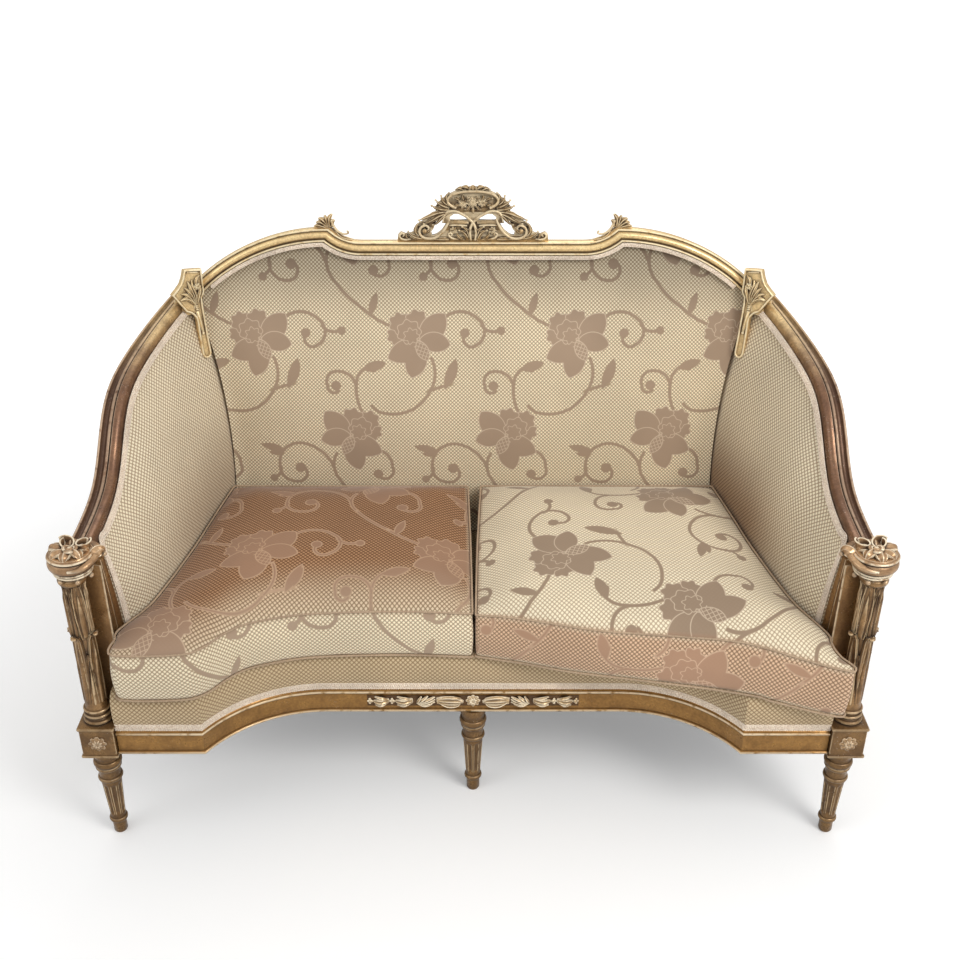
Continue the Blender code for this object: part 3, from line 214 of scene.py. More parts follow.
def moved(parts, matrix):
    return [(placed(np.array(p, float), matrix), f) for p, f in parts]


def makePiece(name, parts, slot, look=None, body="frame", replaces=(), sharp=38, uv=None):
    # look names the finish where it isn't the slot's own
    verts, faces = gather(parts)
    mesh = bpy.data.meshes.new(name)
    mesh.from_pydata(verts.tolist(), [], faces)
    bm = bmesh.new()
    bm.from_mesh(mesh)
    bmesh.ops.recalc_face_normals(bm, faces=bm.faces[:])
    bm.to_mesh(mesh)
    bm.free()
    markRidges(mesh)
    mesh.shade_smooth()
    if sharp:
        mesh.set_sharp_from_angle(angle=math.radians(sharp))
    piece = bpy.data.objects.new(name, mesh)
    scene.collection.objects.link(piece)
    piece.data.materials.append(finish[look or slot])
    if uv is not None:
        putUv(mesh, uv)
    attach(piece, body)
    if replaces:
        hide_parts(*replaces)
    return piece


def makePair(name, parts, slot, look=None, stands=None, sharp=38):
    # the left piece as it is built, the right one mirrored; stands is the solid's name without its side
    for side, items in (("Left", parts), ("Right", flipX(parts))):
        solid = [stands + "_" + side.lower()] if stands else ()
        makePiece(name + side, items, slot, look, replaces=solid, sharp=sharp)


# bend that counts as a full ridge, in 1/m, and the face widths between which the marks fade
ridgeMarks = {"fullBend": 800.0, "narrow": 0.003, "broad": 0.0055}


def markRidges(mesh):
    # signed bend of the surface at each vertex: ridges towards 1, painted pale there as wear and highlight,
    # hollows towards -1
    count = len(mesh.vertices)
    co, normal = np.empty(count * 3), np.empty(count * 3)
    mesh.vertices.foreach_get("co", co)
    mesh.vertices.foreach_get("normal", normal)
    co, normal = co.reshape(-1, 3), normal.reshape(-1, 3)
    ends = np.empty(len(mesh.edges) * 2, np.int32)
    mesh.edges.foreach_get("vertices", ends)
    a, b = ends.reshape(-1, 2).T
    a, b = np.concatenate([a, b]), np.concatenate([b, a])
    step = co[a] - co[b]
    bend = 2 * np.sum(normal[a] * step, axis=1) / np.maximum(np.sum(step ** 2, axis=1), 1e-8)
    most, least = np.zeros(count), np.zeros(count)
    np.maximum.at(most, a, bend)
    np.minimum.at(least, a, bend)
    total = np.clip((most + least) / ridgeMarks["fullBend"], -1, 1)
    links = np.maximum(np.bincount(a, minlength=count), 1)
    near = np.bincount(a, total[b], minlength=count) / links
    total = 0.65 * total + 0.35 * near
    # broad flat faces keep their plain colour
    corner, rim = np.empty(len(mesh.loops), np.int32), np.empty(len(mesh.loops), np.int32)
    mesh.loops.foreach_get("vertex_index", corner)
    mesh.loops.foreach_get("edge_index", rim)
    first, sides, area = (np.empty(len(mesh.polygons), kind) for kind in (np.int32, np.int32, np.float32))
    mesh.polygons.foreach_get("loop_start", first)
    mesh.polygons.foreach_get("loop_total", sides)
    mesh.polygons.foreach_get("area", area)
    around = np.add.reduceat(np.linalg.norm(step[:len(mesh.edges)], axis=1)[rim], first)
    fade = ridgeMarks["broad"] - ridgeMarks["narrow"]
    narrow = np.clip((ridgeMarks["broad"] - 2 * area / around) / fade, 0, 1)
    marks = total[corner] * np.repeat(narrow, sides)
    mesh.attributes.new("ridge", "FLOAT", "CORNER").data.foreach_set("value", marks.astype(np.float32))


def putUv(mesh, perVertex):
    # cloth coordinates in metres, one pair for each vertex
    layer = mesh.uv_layers.new(name="cloth")
    loops = np.empty(len(mesh.loops), np.int32)
    mesh.loops.foreach_get("vertex_index", loops)
    layer.data.foreach_set("uv", np.array(perVertex, np.float32)[loops].ravel())


# shader building
def setInput(tree, socket, value):
    if isinstance(value, bpy.types.NodeSocket):
        tree.links.new(value, socket)
    elif value is not None:
        socket.default_value = value


def node(tree, kind, *args, out=0, **props):
    made = tree.nodes.new(kind)
    for key, value in props.items():
        setattr(made, key, value)
    for socket, value in zip(made.inputs, args):
        setInput(tree, socket, value)
    return made.outputs[out]


def calc(tree, operation, *args):
    return node(tree, "ShaderNodeMath", *args, operation=operation)


def vecCalc(tree, operation, *args):
    out = 1 if operation in ("DOT_PRODUCT", "LENGTH", "DISTANCE") else 0
    return node(tree, "ShaderNodeVectorMath", *args, operation=operation, out=out)


def split(tree, vector):
    return node(tree, "ShaderNodeSeparateXYZ", vector).node.outputs


def objectPlace(tree):
    return node(tree, "ShaderNodeTexCoord", out=3)


def blend(tree, factor, first, second, mode="MIX"):
    made = tree.nodes.new("ShaderNodeMix")
    made.data_type = "RGBA"
    made.blend_type = mode
    setInput(tree, made.inputs[0], factor)
    setInput(tree, made.inputs[6], first)
    setInput(tree, made.inputs[7], second)
    return made.outputs[2]


def multiplied(tree, colour, tone):
    return blend(tree, 1.0, colour, tone, "MULTIPLY")


def ramp(tree, value, low, high, toLow=0.0, toHigh=1.0):
    made = tree.nodes.new("ShaderNodeMapRange")
    made.interpolation_type = "SMOOTHSTEP"
    for socket, item in zip(made.inputs, (value, low, high, toLow, toHigh)):
        setInput(tree, socket, item)
    return made.outputs[0]


def noise(tree, vector, scale, detail=3.0, rough=0.55):
    made = tree.nodes.new("ShaderNodeTexNoise")
    setInput(tree, made.inputs["Vector"], vector)
    setInput(tree, made.inputs["Scale"], scale)
    made.inputs["Detail"].default_value = detail
    made.inputs["Roughness"].default_value = rough
    return made.outputs["Fac"]


def newGroup(name, inputs, outputs):
    tree = bpy.data.node_groups.new(name, "ShaderNodeTree")
    for label, kind, value in inputs:
        socket = tree.interface.new_socket(label, in_out="INPUT", socket_type="NodeSocket" + kind)
        if value is not None:
            socket.default_value = value
    for label, kind in outputs:
        tree.interface.new_socket(label, in_out="OUTPUT", socket_type="NodeSocket" + kind)
    return tree, tree.nodes.new("NodeGroupInput").outputs, tree.nodes.new("NodeGroupOutput").inputs


def useGroup(tree, group, **values):
    made = tree.nodes.new("ShaderNodeGroup")
    made.node_tree = group
    for label, value in values.items():
        setInput(tree, made.inputs[label], value)
    return made.outputs


def feed(tree, sockets, **values):
    # links by the sockets' labels, an underscore for a blank
    for label, value in values.items():
        tree.links.new(value, sockets[label.replace("_", " ")])


def newMaterial(name, roughness=0.6, metallic=0.0, **sockets):
    material = bpy.data.materials.new(name)
    material.use_nodes = True
    tree = material.node_tree
    shader = tree.nodes["Principled BSDF"]
    shader.inputs["Roughness"].default_value = roughness
    shader.inputs["Metallic"].default_value = metallic
    for label, value in sockets.items():
        shader.inputs[label.replace("_", " ")].default_value = value
    return material, tree, shader.inputs


def addBump(tree, shader, height, strength, distance):
    made = tree.nodes.new("ShaderNodeBump")
    made.inputs["Strength"].default_value = strength
    made.inputs["Distance"].default_value = distance
    feed(tree, made.inputs, Height=height)
    feed(tree, shader, Normal=made.outputs["Normal"])


# worn gilding: gold leaf over brown, dark in hollows, pale on edges as wear and painted highlight, chipped,
# with painted shade on faces turned from the light
def makeGilding():
    tree, given, result = newGroup(
        "gildingWearAndPaintedLight",
        [("Gold", "Color", (0.5, 0.3, 0.1, 1)), ("Brown", "Color", (0.2, 0.1, 0.04, 1)),
         ("Pale", "Color", (0.8, 0.68, 0.5, 1)), ("Hollow", "Float", 0.6), ("Edge", "Float", 0.5),
         ("Chips", "Float", 0.3), ("Patches", "Float", 0.5)],
        [("Color", "Color"), ("Rough", "Float"), ("Metal", "Float"), ("Height", "Float")])
    place = objectPlace(tree)
    shelter = tree.nodes.new("ShaderNodeAmbientOcclusion")
    shelter.samples = 6
    shelter.only_local = True
    shelter.inputs["Distance"].default_value = 0.011
    exposed = ramp(tree, shelter.outputs["AO"], 0.4, 0.98)
    cloudy = noise(tree, place, 26.0, 4.0)
    patchy = ramp(tree, cloudy, 0.35, 0.68)
    bend = node(tree, "ShaderNodeAttribute", out=2, attribute_name="ridge")
    ridge = ramp(tree, bend, 0.17, 0.56)
    sunk = ramp(tree, bend, -0.1, -0.6)
    streak = noise(tree, place, 210.0, 2.0)
    # leaf rubbed through in patches
    rubbed = calc(tree, "MULTIPLY", patchy, given["Patches"])
    colour = blend(tree, rubbed, given["Gold"], given["Brown"])
    tone = ramp(tree, streak, 0.25, 0.8, 0.8, 1.12)
    colour = multiplied(tree, colour, tone)
    # painted shade: darker on undersides and faces turned from the light, lighter on faces turned up to it
    paintedShadeFacing = vecCalc(tree, "DOT_PRODUCT", node(tree, "ShaderNodeNewGeometry", out=1), (0.0, -0.35, 0.94))
    colour = multiplied(tree, colour, ramp(tree, paintedShadeFacing, -0.75, 0.75, 0.45, 1.15))
    hidden = calc(tree, "MAXIMUM", calc(tree, "SUBTRACT", 1.0, exposed), calc(tree, "MULTIPLY", sunk, 0.55))
    hidden = calc(tree, "MULTIPLY", hidden, given["Hollow"])
    dark = blend(tree, 0.75, given["Brown"], (0.02, 0.011, 0.006, 1))
    colour = blend(tree, hidden, colour, dark)
    # pale on ridges: rubbed-through leaf together with a painted highlight along the crests
    wornAndHighlight = calc(tree, "MULTIPLY", ridge, ramp(tree, noise(tree, place, 75.0, 3.0), 0.26, 0.52))
    wornAndHighlight = calc(tree, "MULTIPLY", wornAndHighlight, given["Edge"])
    colour = blend(tree, wornAndHighlight, colour, given["Pale"])
    speck = ramp(tree, noise(tree, place, 330.0, 2.0, 0.7), 0.66, 0.7)
    field = ramp(tree, noise(tree, place, 17.0, 3.0), 0.46, 0.62)
    chip = calc(tree, "MULTIPLY", calc(tree, "MULTIPLY", speck, field), given["Chips"])
    colour = blend(tree, chip, colour, (0.74, 0.66, 0.55, 1))
    bare = calc(tree, "MAXIMUM", calc(tree, "MAXIMUM", chip, hidden), calc(tree, "MULTIPLY", wornAndHighlight, 0.6))
    rough = calc(tree, "ADD", ramp(tree, cloudy, 0.3, 0.7, 0.24, 0.42), calc(tree, "MULTIPLY", bare, 0.3))
    metal = calc(tree, "MULTIPLY", calc(tree, "SUBTRACT", 1.0, bare), 0.62)
    height = calc(tree, "SUBTRACT", calc(tree, "MULTIPLY", streak, 0.4), chip)
    feed(tree, result, Color=colour, Rough=rough, Metal=metal, Height=height)
    return tree


gildingGroup = makeGilding()


def giltMaterial(name, gold, brown, pale, hollow, edge, chips, patches, upper=None):
    # upper: another leaf colour higher up, and the heights between which it comes in
    material, tree, shader = newMaterial(name)
    leafGold = (*gold, 1)
    if upper is not None:
        height = split(tree, objectPlace(tree))[2]
        leafGold = blend(tree, ramp(tree, height, *upper[1:]), leafGold, (*upper[0], 1))
    wearAndPaintedLight = useGroup(tree, gildingGroup, Gold=leafGold, Brown=(*brown, 1), Pale=(*pale, 1), Hollow=hollow,
                    Edge=edge, Chips=chips, Patches=patches)
    feed(tree, shader, Base_Color=wearAndPaintedLight["Color"], Roughness=wearAndPaintedLight["Rough"], Metallic=wearAndPaintedLight["Metal"])
    addBump(tree, shader, wearAndPaintedLight["Height"], 0.25, 0.0006)
    return material


gildings = {
    "gilt_crest": {"name": "crestGilding", "gold": (0.92, 0.68, 0.34), "brown": (0.42, 0.245, 0.11),
                   "pale": (0.96, 0.85, 0.6), "hollow": 0.95, "edge": 0.8, "chips": 0.15, "patches": 0.3},
    "gilt_arm": {"name": "armGilding", "gold": (0.235, 0.125, 0.07), "brown": (0.105, 0.052, 0.034),
                 "pale": (0.6, 0.44, 0.3), "hollow": 0.95, "edge": 0.8, "chips": 0.6, "patches": 0.55,
                 "upper": ((0.88, 0.64, 0.32), 0.79, 0.88)},
    "gilt_post": {"name": "postGilding", "gold": (0.235, 0.13, 0.048), "brown": (0.09, 0.046, 0.021),
                  "pale": (0.8, 0.61, 0.37), "hollow": 0.96, "edge": 0.62, "chips": 0.45, "patches": 0.6,
                  "upper": ((0.345, 0.198, 0.084), 0.285, 0.34)},
    "gilt_rail": {"name": "railGilding", "gold": (0.34, 0.175, 0.048), "brown": (0.15, 0.072, 0.02),
                  "pale": (0.9, 0.75, 0.52), "hollow": 0.92, "edge": 0.9, "chips": 0.3, "patches": 0.45},
    "facing": {"name": "facingGilding", "gold": (0.32, 0.172, 0.065), "brown": (0.17, 0.085, 0.034),
               "pale": (0.88, 0.7, 0.46), "hollow": 0.9, "edge": 0.85, "chips": 0.3, "patches": 0.55},
    "rosette": {"name": "rosetteGilding", "gold": (0.4, 0.25, 0.125), "brown": (0.15, 0.078, 0.036),
                "pale": (0.8, 0.65, 0.46), "hollow": 0.98, "edge": 0.55, "chips": 0.2, "patches": 0.5},
    # dark sheet behind the apron garland: a painted shade
    "apronShadeSheet": {"name": "apronShadeSheet", "gold": (0.12, 0.062, 0.025), "brown": (0.06, 0.031, 0.014),
                    "pale": (0.4, 0.27, 0.14), "hollow": 0.0, "edge": 0.0, "chips": 0.1, "patches": 0.5},
    "knuckle": {"name": "knuckleGilding", "gold": (0.53, 0.335, 0.18), "brown": (0.18, 0.085, 0.036),
                "pale": (0.95, 0.83, 0.62), "hollow": 0.98, "edge": 0.8, "chips": 0.25, "patches": 0.65},
    "apron": {"name": "apronGilding", "gold": (0.58, 0.4, 0.21), "brown": (0.12, 0.06, 0.026),
              "pale": (0.92, 0.8, 0.6), "hollow": 0.98, "edge": 0.85, "chips": 0.1, "patches": 0.35},
    "carving": {"name": "carvingGilding", "gold": (0.6, 0.405, 0.19), "brown": (0.11, 0.056, 0.026),
                "pale": (0.94, 0.8, 0.55), "hollow": 1.0, "edge": 0.72, "chips": 0.15, "patches": 0.5},
}
finish = {key: giltMaterial(**look) for key, look in gildings.items()}


# cloth: dot lattice with threads
threadPitch = 0.0013


def fromMiddle(tree, vector, turn, pitch):
    # distance along both axes from the middle of a turned cell, in cells
    turned = node(tree, "ShaderNodeVectorRotate", vector, (0, 0, 0), (0, 0, 1), turn)
    cell = vecCalc(tree, "FRACTION", vecCalc(tree, "DIVIDE", turned, pitch))
    return split(tree, vecCalc(tree, "ABSOLUTE", vecCalc(tree, "SUBTRACT", cell, (0.5, 0.5, 0.0))))


def makeLattice():
    tree, given, result = newGroup(
        "dotLattice", [("Cloth", "Vector", None), ("Pitch", "Float", 0.0065), ("Dot", "Float", 0.36)],
        [("Mask", "Float"), ("Height", "Float")])
    pitch = node(tree, "ShaderNodeCombineXYZ", given["Pitch"], given["Pitch"], 1.0)
    local = fromMiddle(tree, given["Cloth"], math.radians(45), pitch)
    cubes = [calc(tree, "POWER", axis, 3.0) for axis in local[:2]]
    reach = calc(tree, "POWER", calc(tree, "ADD", *cubes), 1 / 3)
    mask = ramp(tree, calc(tree, "SUBTRACT", reach, given["Dot"]), 0.07, -0.07)
    axes = split(tree, given["Cloth"])[:2]
    threads = [calc(tree, "SINE", calc(tree, "MULTIPLY", axis, 2 * math.pi / threadPitch)) for axis in axes]
    dome = ramp(tree, reach, 0.5, 0.05)
    height = calc(tree, "MULTIPLY_ADD", calc(tree, "MULTIPLY", *threads), 0.12, dome)
    feed(tree, result, Mask=mask, Height=height)
    return tree


latticeGroup = makeLattice()

# scrolling flowers: a half-drop repeat with two flowers, vines, curls and leaves, in metres
repeatWide, repeatHigh = 0.332, 0.441
flowerSpots = [(0.0, 0.0), (-0.152, -0.209)]
# drawn from the heart of the first or second flower in steps of 0.62 mm, y down
scrollStep = 0.000622
vineArcs = [
    (0, 70, -70, 135, -105, 195, -80), (0, 195, -80, 217, -35, 192, 5), (0, 192, 5, 162, 10, 148, -22),
    (0, 208, -62, 235, -40, 262, -42), (0, 38, 50, 50, 110, 28, 172), (0, 28, 172, -40, 235, -118, 244),
    (0, -118, 244, -146, 236, -168, 216), (0, 32, 163, 62, 152, 98, 142), (1, 48, -90, 28, -150, 28, -200),
    (1, 28, -200, 38, -232, 66, -256), (1, 26, -188, 8, -224, -30, -240),
    (1, -30, -240, -66, -226, -70, -188), (1, -70, -188, -58, -166, -34, -174),
    (1, -50, 56, -62, 105, -42, 160), (1, -42, 160, 0, 212, 58, 260), (1, 58, 260, 110, 298, 168, 322),
    (1, -60, 118, -100, 52, -165, 20), (1, -165, 20, -230, 42, -252, 100),
    (1, -252, 100, -236, 150, -190, 166), (1, -190, 166, -160, 145, -166, 112),
    (1, -250, 110, -256, 138, -274, 150), (1, 86, 40, 130, 66, 142, 108), (1, 142, 108, 134, 146, 98, 148),
]
vineHalf = 0.0027
curlEnds = [(0, 151, -34, 15), (0, 272, -42, 13), (1, -42, -190, 16), (1, -180, 112, 17), (1, -276, 154, 13),
            (1, 92, 134, 16)]
# leaves: tip to tip and half width
vineLeaves = [(0, 84, 158, 120, 52, 15), (0, 104, 140, 124, 60, 10), (1, 52, -246, 128, -270, 16),
              (1, 60, -262, 96, -240, 10), (1, 78, 284, 102, 206, 12), (1, -228, 50, -312, 28, 13),
              (1, -236, 60, -286, 56, 9)]
# petals, back to front
petals = [
    ("disc", -18, -14, 46), ("ruffle", -78, -26, 30), ("ruffle", -66, -66, 34), ("ruffle", -10, -74, 36),
    ("lens", 4, 0, 84, -98, 40), ("disc", 44, -50, 35), ("lens", 0, -14, 102, 6, 33),
    ("lens", 14, 0, -108, 52, 38), ("lens", 4, 4, -30, 118, 36), ("disc", -34, 40, 30),
    ("ruffle", -36, -38, 38), ("ruffle", -28, -24, 24), ("core", -8, -8, 26, 58, 20),
]


def arcThrough(a, b, c):
    # centre, radius, middle angle and half angle of the arc from a through b to c
    (ax, ay), (bx, by), (cx, cy) = a, b, c
    aa, bb, cc = ax * ax + ay * ay, bx * bx + by * by, cx * cx + cy * cy
    scale = 2 * (ax * (by - cy) + bx * (cy - ay) + cx * (ay - by))
    x = (aa * (by - cy) + bb * (cy - ay) + cc * (ay - by)) / scale
    y = (aa * (cx - bx) + bb * (ax - cx) + cc * (bx - ax)) / scale
    middle = math.atan2(by - y, bx - x)
    swing = [(math.atan2(q - y, p - x) - middle + math.pi) % (2 * math.pi) - math.pi for p, q in (a, c)]
    return x, y, math.hypot(bx - x, by - y), middle + sum(swing) / 2, abs(swing[1] - swing[0]) / 2


def makeScroll():
    tree, given, result = newGroup("flowerScroll", [("Cloth", "Vector", None)],
                                   [("Motif", "Float"), ("Line", "Float"), ("Distance", "Float")])
    cloth = given["Cloth"]
    high = (repeatWide / 2, repeatHigh / 2, 1.0)
    low = (-repeatWide / 2, -repeatHigh / 2, -1.0)

    def around(x, y):
        return vecCalc(tree, "WRAP", vecCalc(tree, "SUBTRACT", cloth, (x, y, 0)), high, low)

    def drawn(owner, *numbers):
        spot = flowerSpots[owner]
        return [(spot[0] + x * scrollStep, spot[1] - y * scrollStep)
                for x, y in zip(numbers[::2], numbers[1::2])]

    def lens(local, x0, y0, x1, y1, half):
        # two circles crossing at the tips
        run = math.hypot(x1 - x0, y1 - y0) / 2
        offset = (run * run - half * half) / (2 * half)
        px, py = -(y1 - y0) / (2 * run), (x1 - x0) / (2 * run)
        reach = []
        for sign in (1, -1):
            x = (x0 + x1) / 2 + px * offset * sign
            y = (y0 + y1) / 2 + py * offset * sign
            reach.append(vecCalc(tree, "DISTANCE", local, (x, y, 0)))
        return calc(tree, "SUBTRACT", calc(tree, "MAXIMUM", *reach), offset + half)

    field = None

    def join(distance):
        nonlocal field
        field = distance if field is None else calc(tree, "MINIMUM", field, distance)

    for arc in vineArcs:
        points = drawn(*arc)
        x, y, radius, middle, half = arcThrough(*points)
        local = vecCalc(tree, "SUBTRACT", around(*points[1]), (x - points[1][0], y - points[1][1], 0))
        ring = calc(tree, "ABSOLUTE", calc(tree, "SUBTRACT", vecCalc(tree, "LENGTH", local), radius))
        turn = vecCalc(tree, "DOT_PRODUCT", vecCalc(tree, "NORMALIZE", local),
                       (math.cos(middle), math.sin(middle), 0))
        end = calc(tree, "MULTIPLY_ADD", turn, -radius, radius * math.cos(half + 0.0012 / radius))
        join(calc(tree, "MAXIMUM", calc(tree, "SUBTRACT", ring, vineHalf), end))
    for owner, x, y, radius in curlEnds:
        spot = drawn(owner, x, y)[0]
        join(calc(tree, "SUBTRACT", vecCalc(tree, "LENGTH", around(*spot)), radius * scrollStep))
    for owner, *tips, half in vineLeaves:
        (x0, y0), (x1, y1) = drawn(owner, *tips)
        x, y = (x0 + x1) / 2, (y0 + y1) / 2
        join(lens(around(x, y), x0 - x, y0 - y, x1 - x, y1 - y, half * scrollStep))
    # nearest flower, the second one mirrored
    first, second = around(*flowerSpots[0]), around(*flowerSpots[1])
    second = vecCalc(tree, "MULTIPLY", second, (-1.0, 1.0, 1.0))
    nearer = calc(tree, "LESS_THAN", vecCalc(tree, "LENGTH", first), vecCalc(tree, "LENGTH", second))
    pick = tree.nodes.new("ShaderNodeMix")
    pick.data_type = "VECTOR"
    for socket, value in zip((pick.inputs[0], pick.inputs[4], pick.inputs[5]), (nearer, second, first)):
        setInput(tree, socket, value)
    local = pick.outputs[1]
    line = None
    for kind, *numbers in petals:
        numbers = [value * scrollStep for value in numbers]
        if kind in ("lens", "core"):
            x0, y0, x1, y1, half = numbers
            distance = lens(local, x0, -y0, x1, -y1, half)
        else:
            near = vecCalc(tree, "SUBTRACT", local, (numbers[0], -numbers[1], 0))
            distance = calc(tree, "SUBTRACT", vecCalc(tree, "LENGTH", near), numbers[2])
            if kind == "ruffle":
                axes = split(tree, near)
                turn = calc(tree, "ARCTAN2", axes[1], axes[0])
                wave = calc(tree, "COSINE", calc(tree, "MULTIPLY", turn, 7.0))
                distance = calc(tree, "MULTIPLY_ADD", wave, -0.0024, distance)
        edge = ramp(tree, calc(tree, "ABSOLUTE", distance), 0.0012, 0.0006)
        if kind == "core":
            # crossed threads in the seed head
            seeds = fromMiddle(tree, local, 0.35, (0.0072, 0.0072, 1.0))
            mesh = ramp(tree, calc(tree, "MAXIMUM", *seeds[:2]), 0.36, 0.44)
            mesh = calc(tree, "MULTIPLY", mesh, ramp(tree, distance, 0.0, -0.001))
            edge = calc(tree, "MAXIMUM", edge, mesh)
        join(distance)
        if line is None:
            line = calc(tree, "MULTIPLY", distance, 0.0)
        else:
            over = ramp(tree, distance, 0.0, 0.0008)
            line = calc(tree, "MULTIPLY", line, over)
            # a disc fills between petals, without an outline of its own
            if kind != "disc":
                line = calc(tree, "MAXIMUM", line, edge)
    feed(tree, result, Motif=ramp(tree, field, 0.0004, -0.0004), Line=line, Distance=field)
    return tree


scrollGroup = makeScroll()
print("pattern groups:", len(scrollGroup.nodes), "nodes in the flower scroll")


def clothMaterial(name, dot, ground, motif=None, line=None, brown=None, shift=(0.0, 0.0), pitch=0.0066,
                  paintedShadeHeights=None, paintedShadeTint=None):
    # brown: second colours (dot, ground, motif, line), mixed in by the shade attribute: a painted shade on
    # the wings; on the cushions partly the cloth's reverse face, partly painted sheen and shade;
    # the painted shade heights: cloth heights between which the painted shade tint comes in
    material, tree, shader = newMaterial(name, roughness=0.78, Sheen_Weight=0.22, Sheen_Roughness=0.45,
                                         Specular_IOR_Level=0.28)
    uv = tree.nodes.new("ShaderNodeUVMap")
    uv.uv_map = "cloth"
    weave = useGroup(tree, latticeGroup, Cloth=uv.outputs[0], Pitch=pitch)
    place = objectPlace(tree)
    colour = blend(tree, weave["Mask"], (*ground, 1), (*dot, 1))
    height = weave["Height"]
    dots = weave["Mask"]
    if motif is not None:
        shifted = vecCalc(tree, "SUBTRACT", uv.outputs[0], (*shift, 0))
        scroll = useGroup(tree, scrollGroup, Cloth=shifted)
        dots = calc(tree, "MULTIPLY", weave["Mask"], ramp(tree, scroll["Distance"], 0.0003, 0.0012))
        colour = blend(tree, dots, (*ground, 1), (*dot, 1))
        colour = blend(tree, scroll["Motif"], colour, (*motif, 1))
        inner = calc(tree, "MULTIPLY", scroll["Line"], 0.8)
        colour = blend(tree, inner, colour, (*line, 1))
        smooth = calc(tree, "SUBTRACT", 1.0, scroll["Motif"])
        height = calc(tree, "MULTIPLY_ADD", scroll["Motif"], 0.5, calc(tree, "MULTIPLY", height, smooth))
    if brown is not None:
        other = blend(tree, dots, (*brown[1], 1), (*brown[0], 1))
        if motif is not None:
            other = blend(tree, scroll["Motif"], other, (*brown[2], 1))
            rim = ramp(tree, calc(tree, "ABSOLUTE", scroll["Distance"]), 0.0016, 0.0008)
            rim = calc(tree, "MULTIPLY", calc(tree, "MAXIMUM", rim, scroll["Line"]), 0.75)
            other = blend(tree, rim, other, (*brown[3], 1))
        shade = node(tree, "ShaderNodeAttribute", out=2, attribute_name="shade")
        colour = blend(tree, shade, colour, other)
    tone = ramp(tree, noise(tree, place, 5.0, 4.0), 0.3, 0.7, 0.93, 1.05)
    colour = multiplied(tree, colour, tone)
    # painted shade: the tint darkens the cloth between the given heights
    if paintedShadeHeights is not None:
        along = split(tree, uv.outputs[0])[1]
        colour = blend(tree, ramp(tree, along, *paintedShadeHeights), colour, multiplied(tree, colour, (*paintedShadeTint, 1)))
    feed(tree, shader, Base_Color=colour, Roughness=ramp(tree, weave["Mask"], 0.0, 1.0, 0.86, 0.7))
    addBump(tree, shader, height, 0.35, 0.0008)
    return material


weaves = {
    # back cloth: its tint darkens the top of the back under the crest rail, a painted shade
    "back_damask": {"name": "backDamask", "dot": (0.89, 0.78, 0.57), "ground": (0.405, 0.305, 0.194),
                    "motif": (0.38, 0.274, 0.19), "line": (0.62, 0.49, 0.36), "shift": (-0.111, 0.535),
                    "pitch": 0.0056, "paintedShadeHeights": (0.56, 0.725), "paintedShadeTint": (0.52, 0.52, 0.52)},
    # wing cloth: brown is a painted shade at the lower back of the wings; its tint is a painted shade, darker
    # and warmer low on the wings and over all of the front border and deck
    "wing_weave": {"name": "wingWeave", "dot": (0.86, 0.77, 0.58), "ground": (0.43, 0.325, 0.215),
                   "brown": [(0.37, 0.232, 0.125), (0.15, 0.082, 0.039)],
                   "paintedShadeHeights": (0.4, 0.26), "paintedShadeTint": (0.69, 0.61, 0.5)},
    "outside_weave": {"name": "outsideWeave", "dot": (0.86, 0.77, 0.58), "ground": (0.43, 0.325, 0.215)},
    "cushion_brown": {"name": "brownCushionCloth", "dot": (0.86, 0.76, 0.56), "ground": (0.4, 0.3, 0.19),
                      "motif": (0.385, 0.28, 0.195), "line": (0.64, 0.51, 0.38),
                      "brown": [(0.41, 0.222, 0.108), (0.138, 0.056, 0.02),
                                (0.315, 0.18, 0.108), (0.52, 0.34, 0.215)],
                      "shift": (-0.367, -0.081), "pitch": 0.0056},
    "cushion_cream": {"name": "creamCushionCloth", "dot": (0.84, 0.75, 0.56), "ground": (0.47, 0.365, 0.245),
                      "motif": (0.3, 0.215, 0.145), "line": (0.58, 0.46, 0.34),
                      "brown": [(0.62, 0.365, 0.215), (0.2, 0.088, 0.04),
                                (0.44, 0.25, 0.155), (0.62, 0.41, 0.275)],
                      "shift": (-0.0813, -0.166), "pitch": 0.0056},
}
finish.update({key: clothMaterial(**look) for key, look in weaves.items()})


# other finishes
def makeGrain():
    tree, given, result = newGroup(
        "woodGrain", [("Light", "Color", (0.5, 0.35, 0.2, 1)), ("Dark", "Color", (0.3, 0.2, 0.1, 1))],
        [("Color", "Color"), ("Height", "Float")])
    place = objectPlace(tree)
    along = vecCalc(tree, "MULTIPLY", place, (6.0, 60.0, 60.0))
    rings = noise(tree, along, 2.4, 5.0, 0.62)
    colour = blend(tree, ramp(tree, rings, 0.3, 0.7), given["Dark"], given["Light"])
    feed(tree, result, Color=colour, Height=rings)
    return tree


grainGroup = makeGrain()


def woodMaterial(name, light, dark):
    material, tree, shader = newMaterial(name, roughness=0.62)
    grain = useGroup(tree, grainGroup, Light=(*light, 1), Dark=(*dark, 1))
    feed(tree, shader, Base_Color=grain["Color"])
    addBump(tree, shader, grain["Height"], 0.25, 0.0006)
    return material


def strandMaterial(name, light, dark, scale, roughness=0.85, metallic=0.0):
    # small woven or drawn strands, tone varying over the piece
    material, tree, shader = newMaterial(name, roughness=roughness, metallic=metallic)
    place = objectPlace(tree)
    fine = noise(tree, place, scale, 2.0, 0.6)
    broad = noise(tree, place, 9.0, 3.0)
    colour = blend(tree, ramp(tree, fine, 0.32, 0.68), (*dark, 1), (*light, 1))
    colour = multiplied(tree, colour, ramp(tree, broad, 0.3, 0.7, 0.86, 1.08))
    feed(tree, shader, Base_Color=colour)
    addBump(tree, shader, fine, 0.3, 0.0005)
    return material


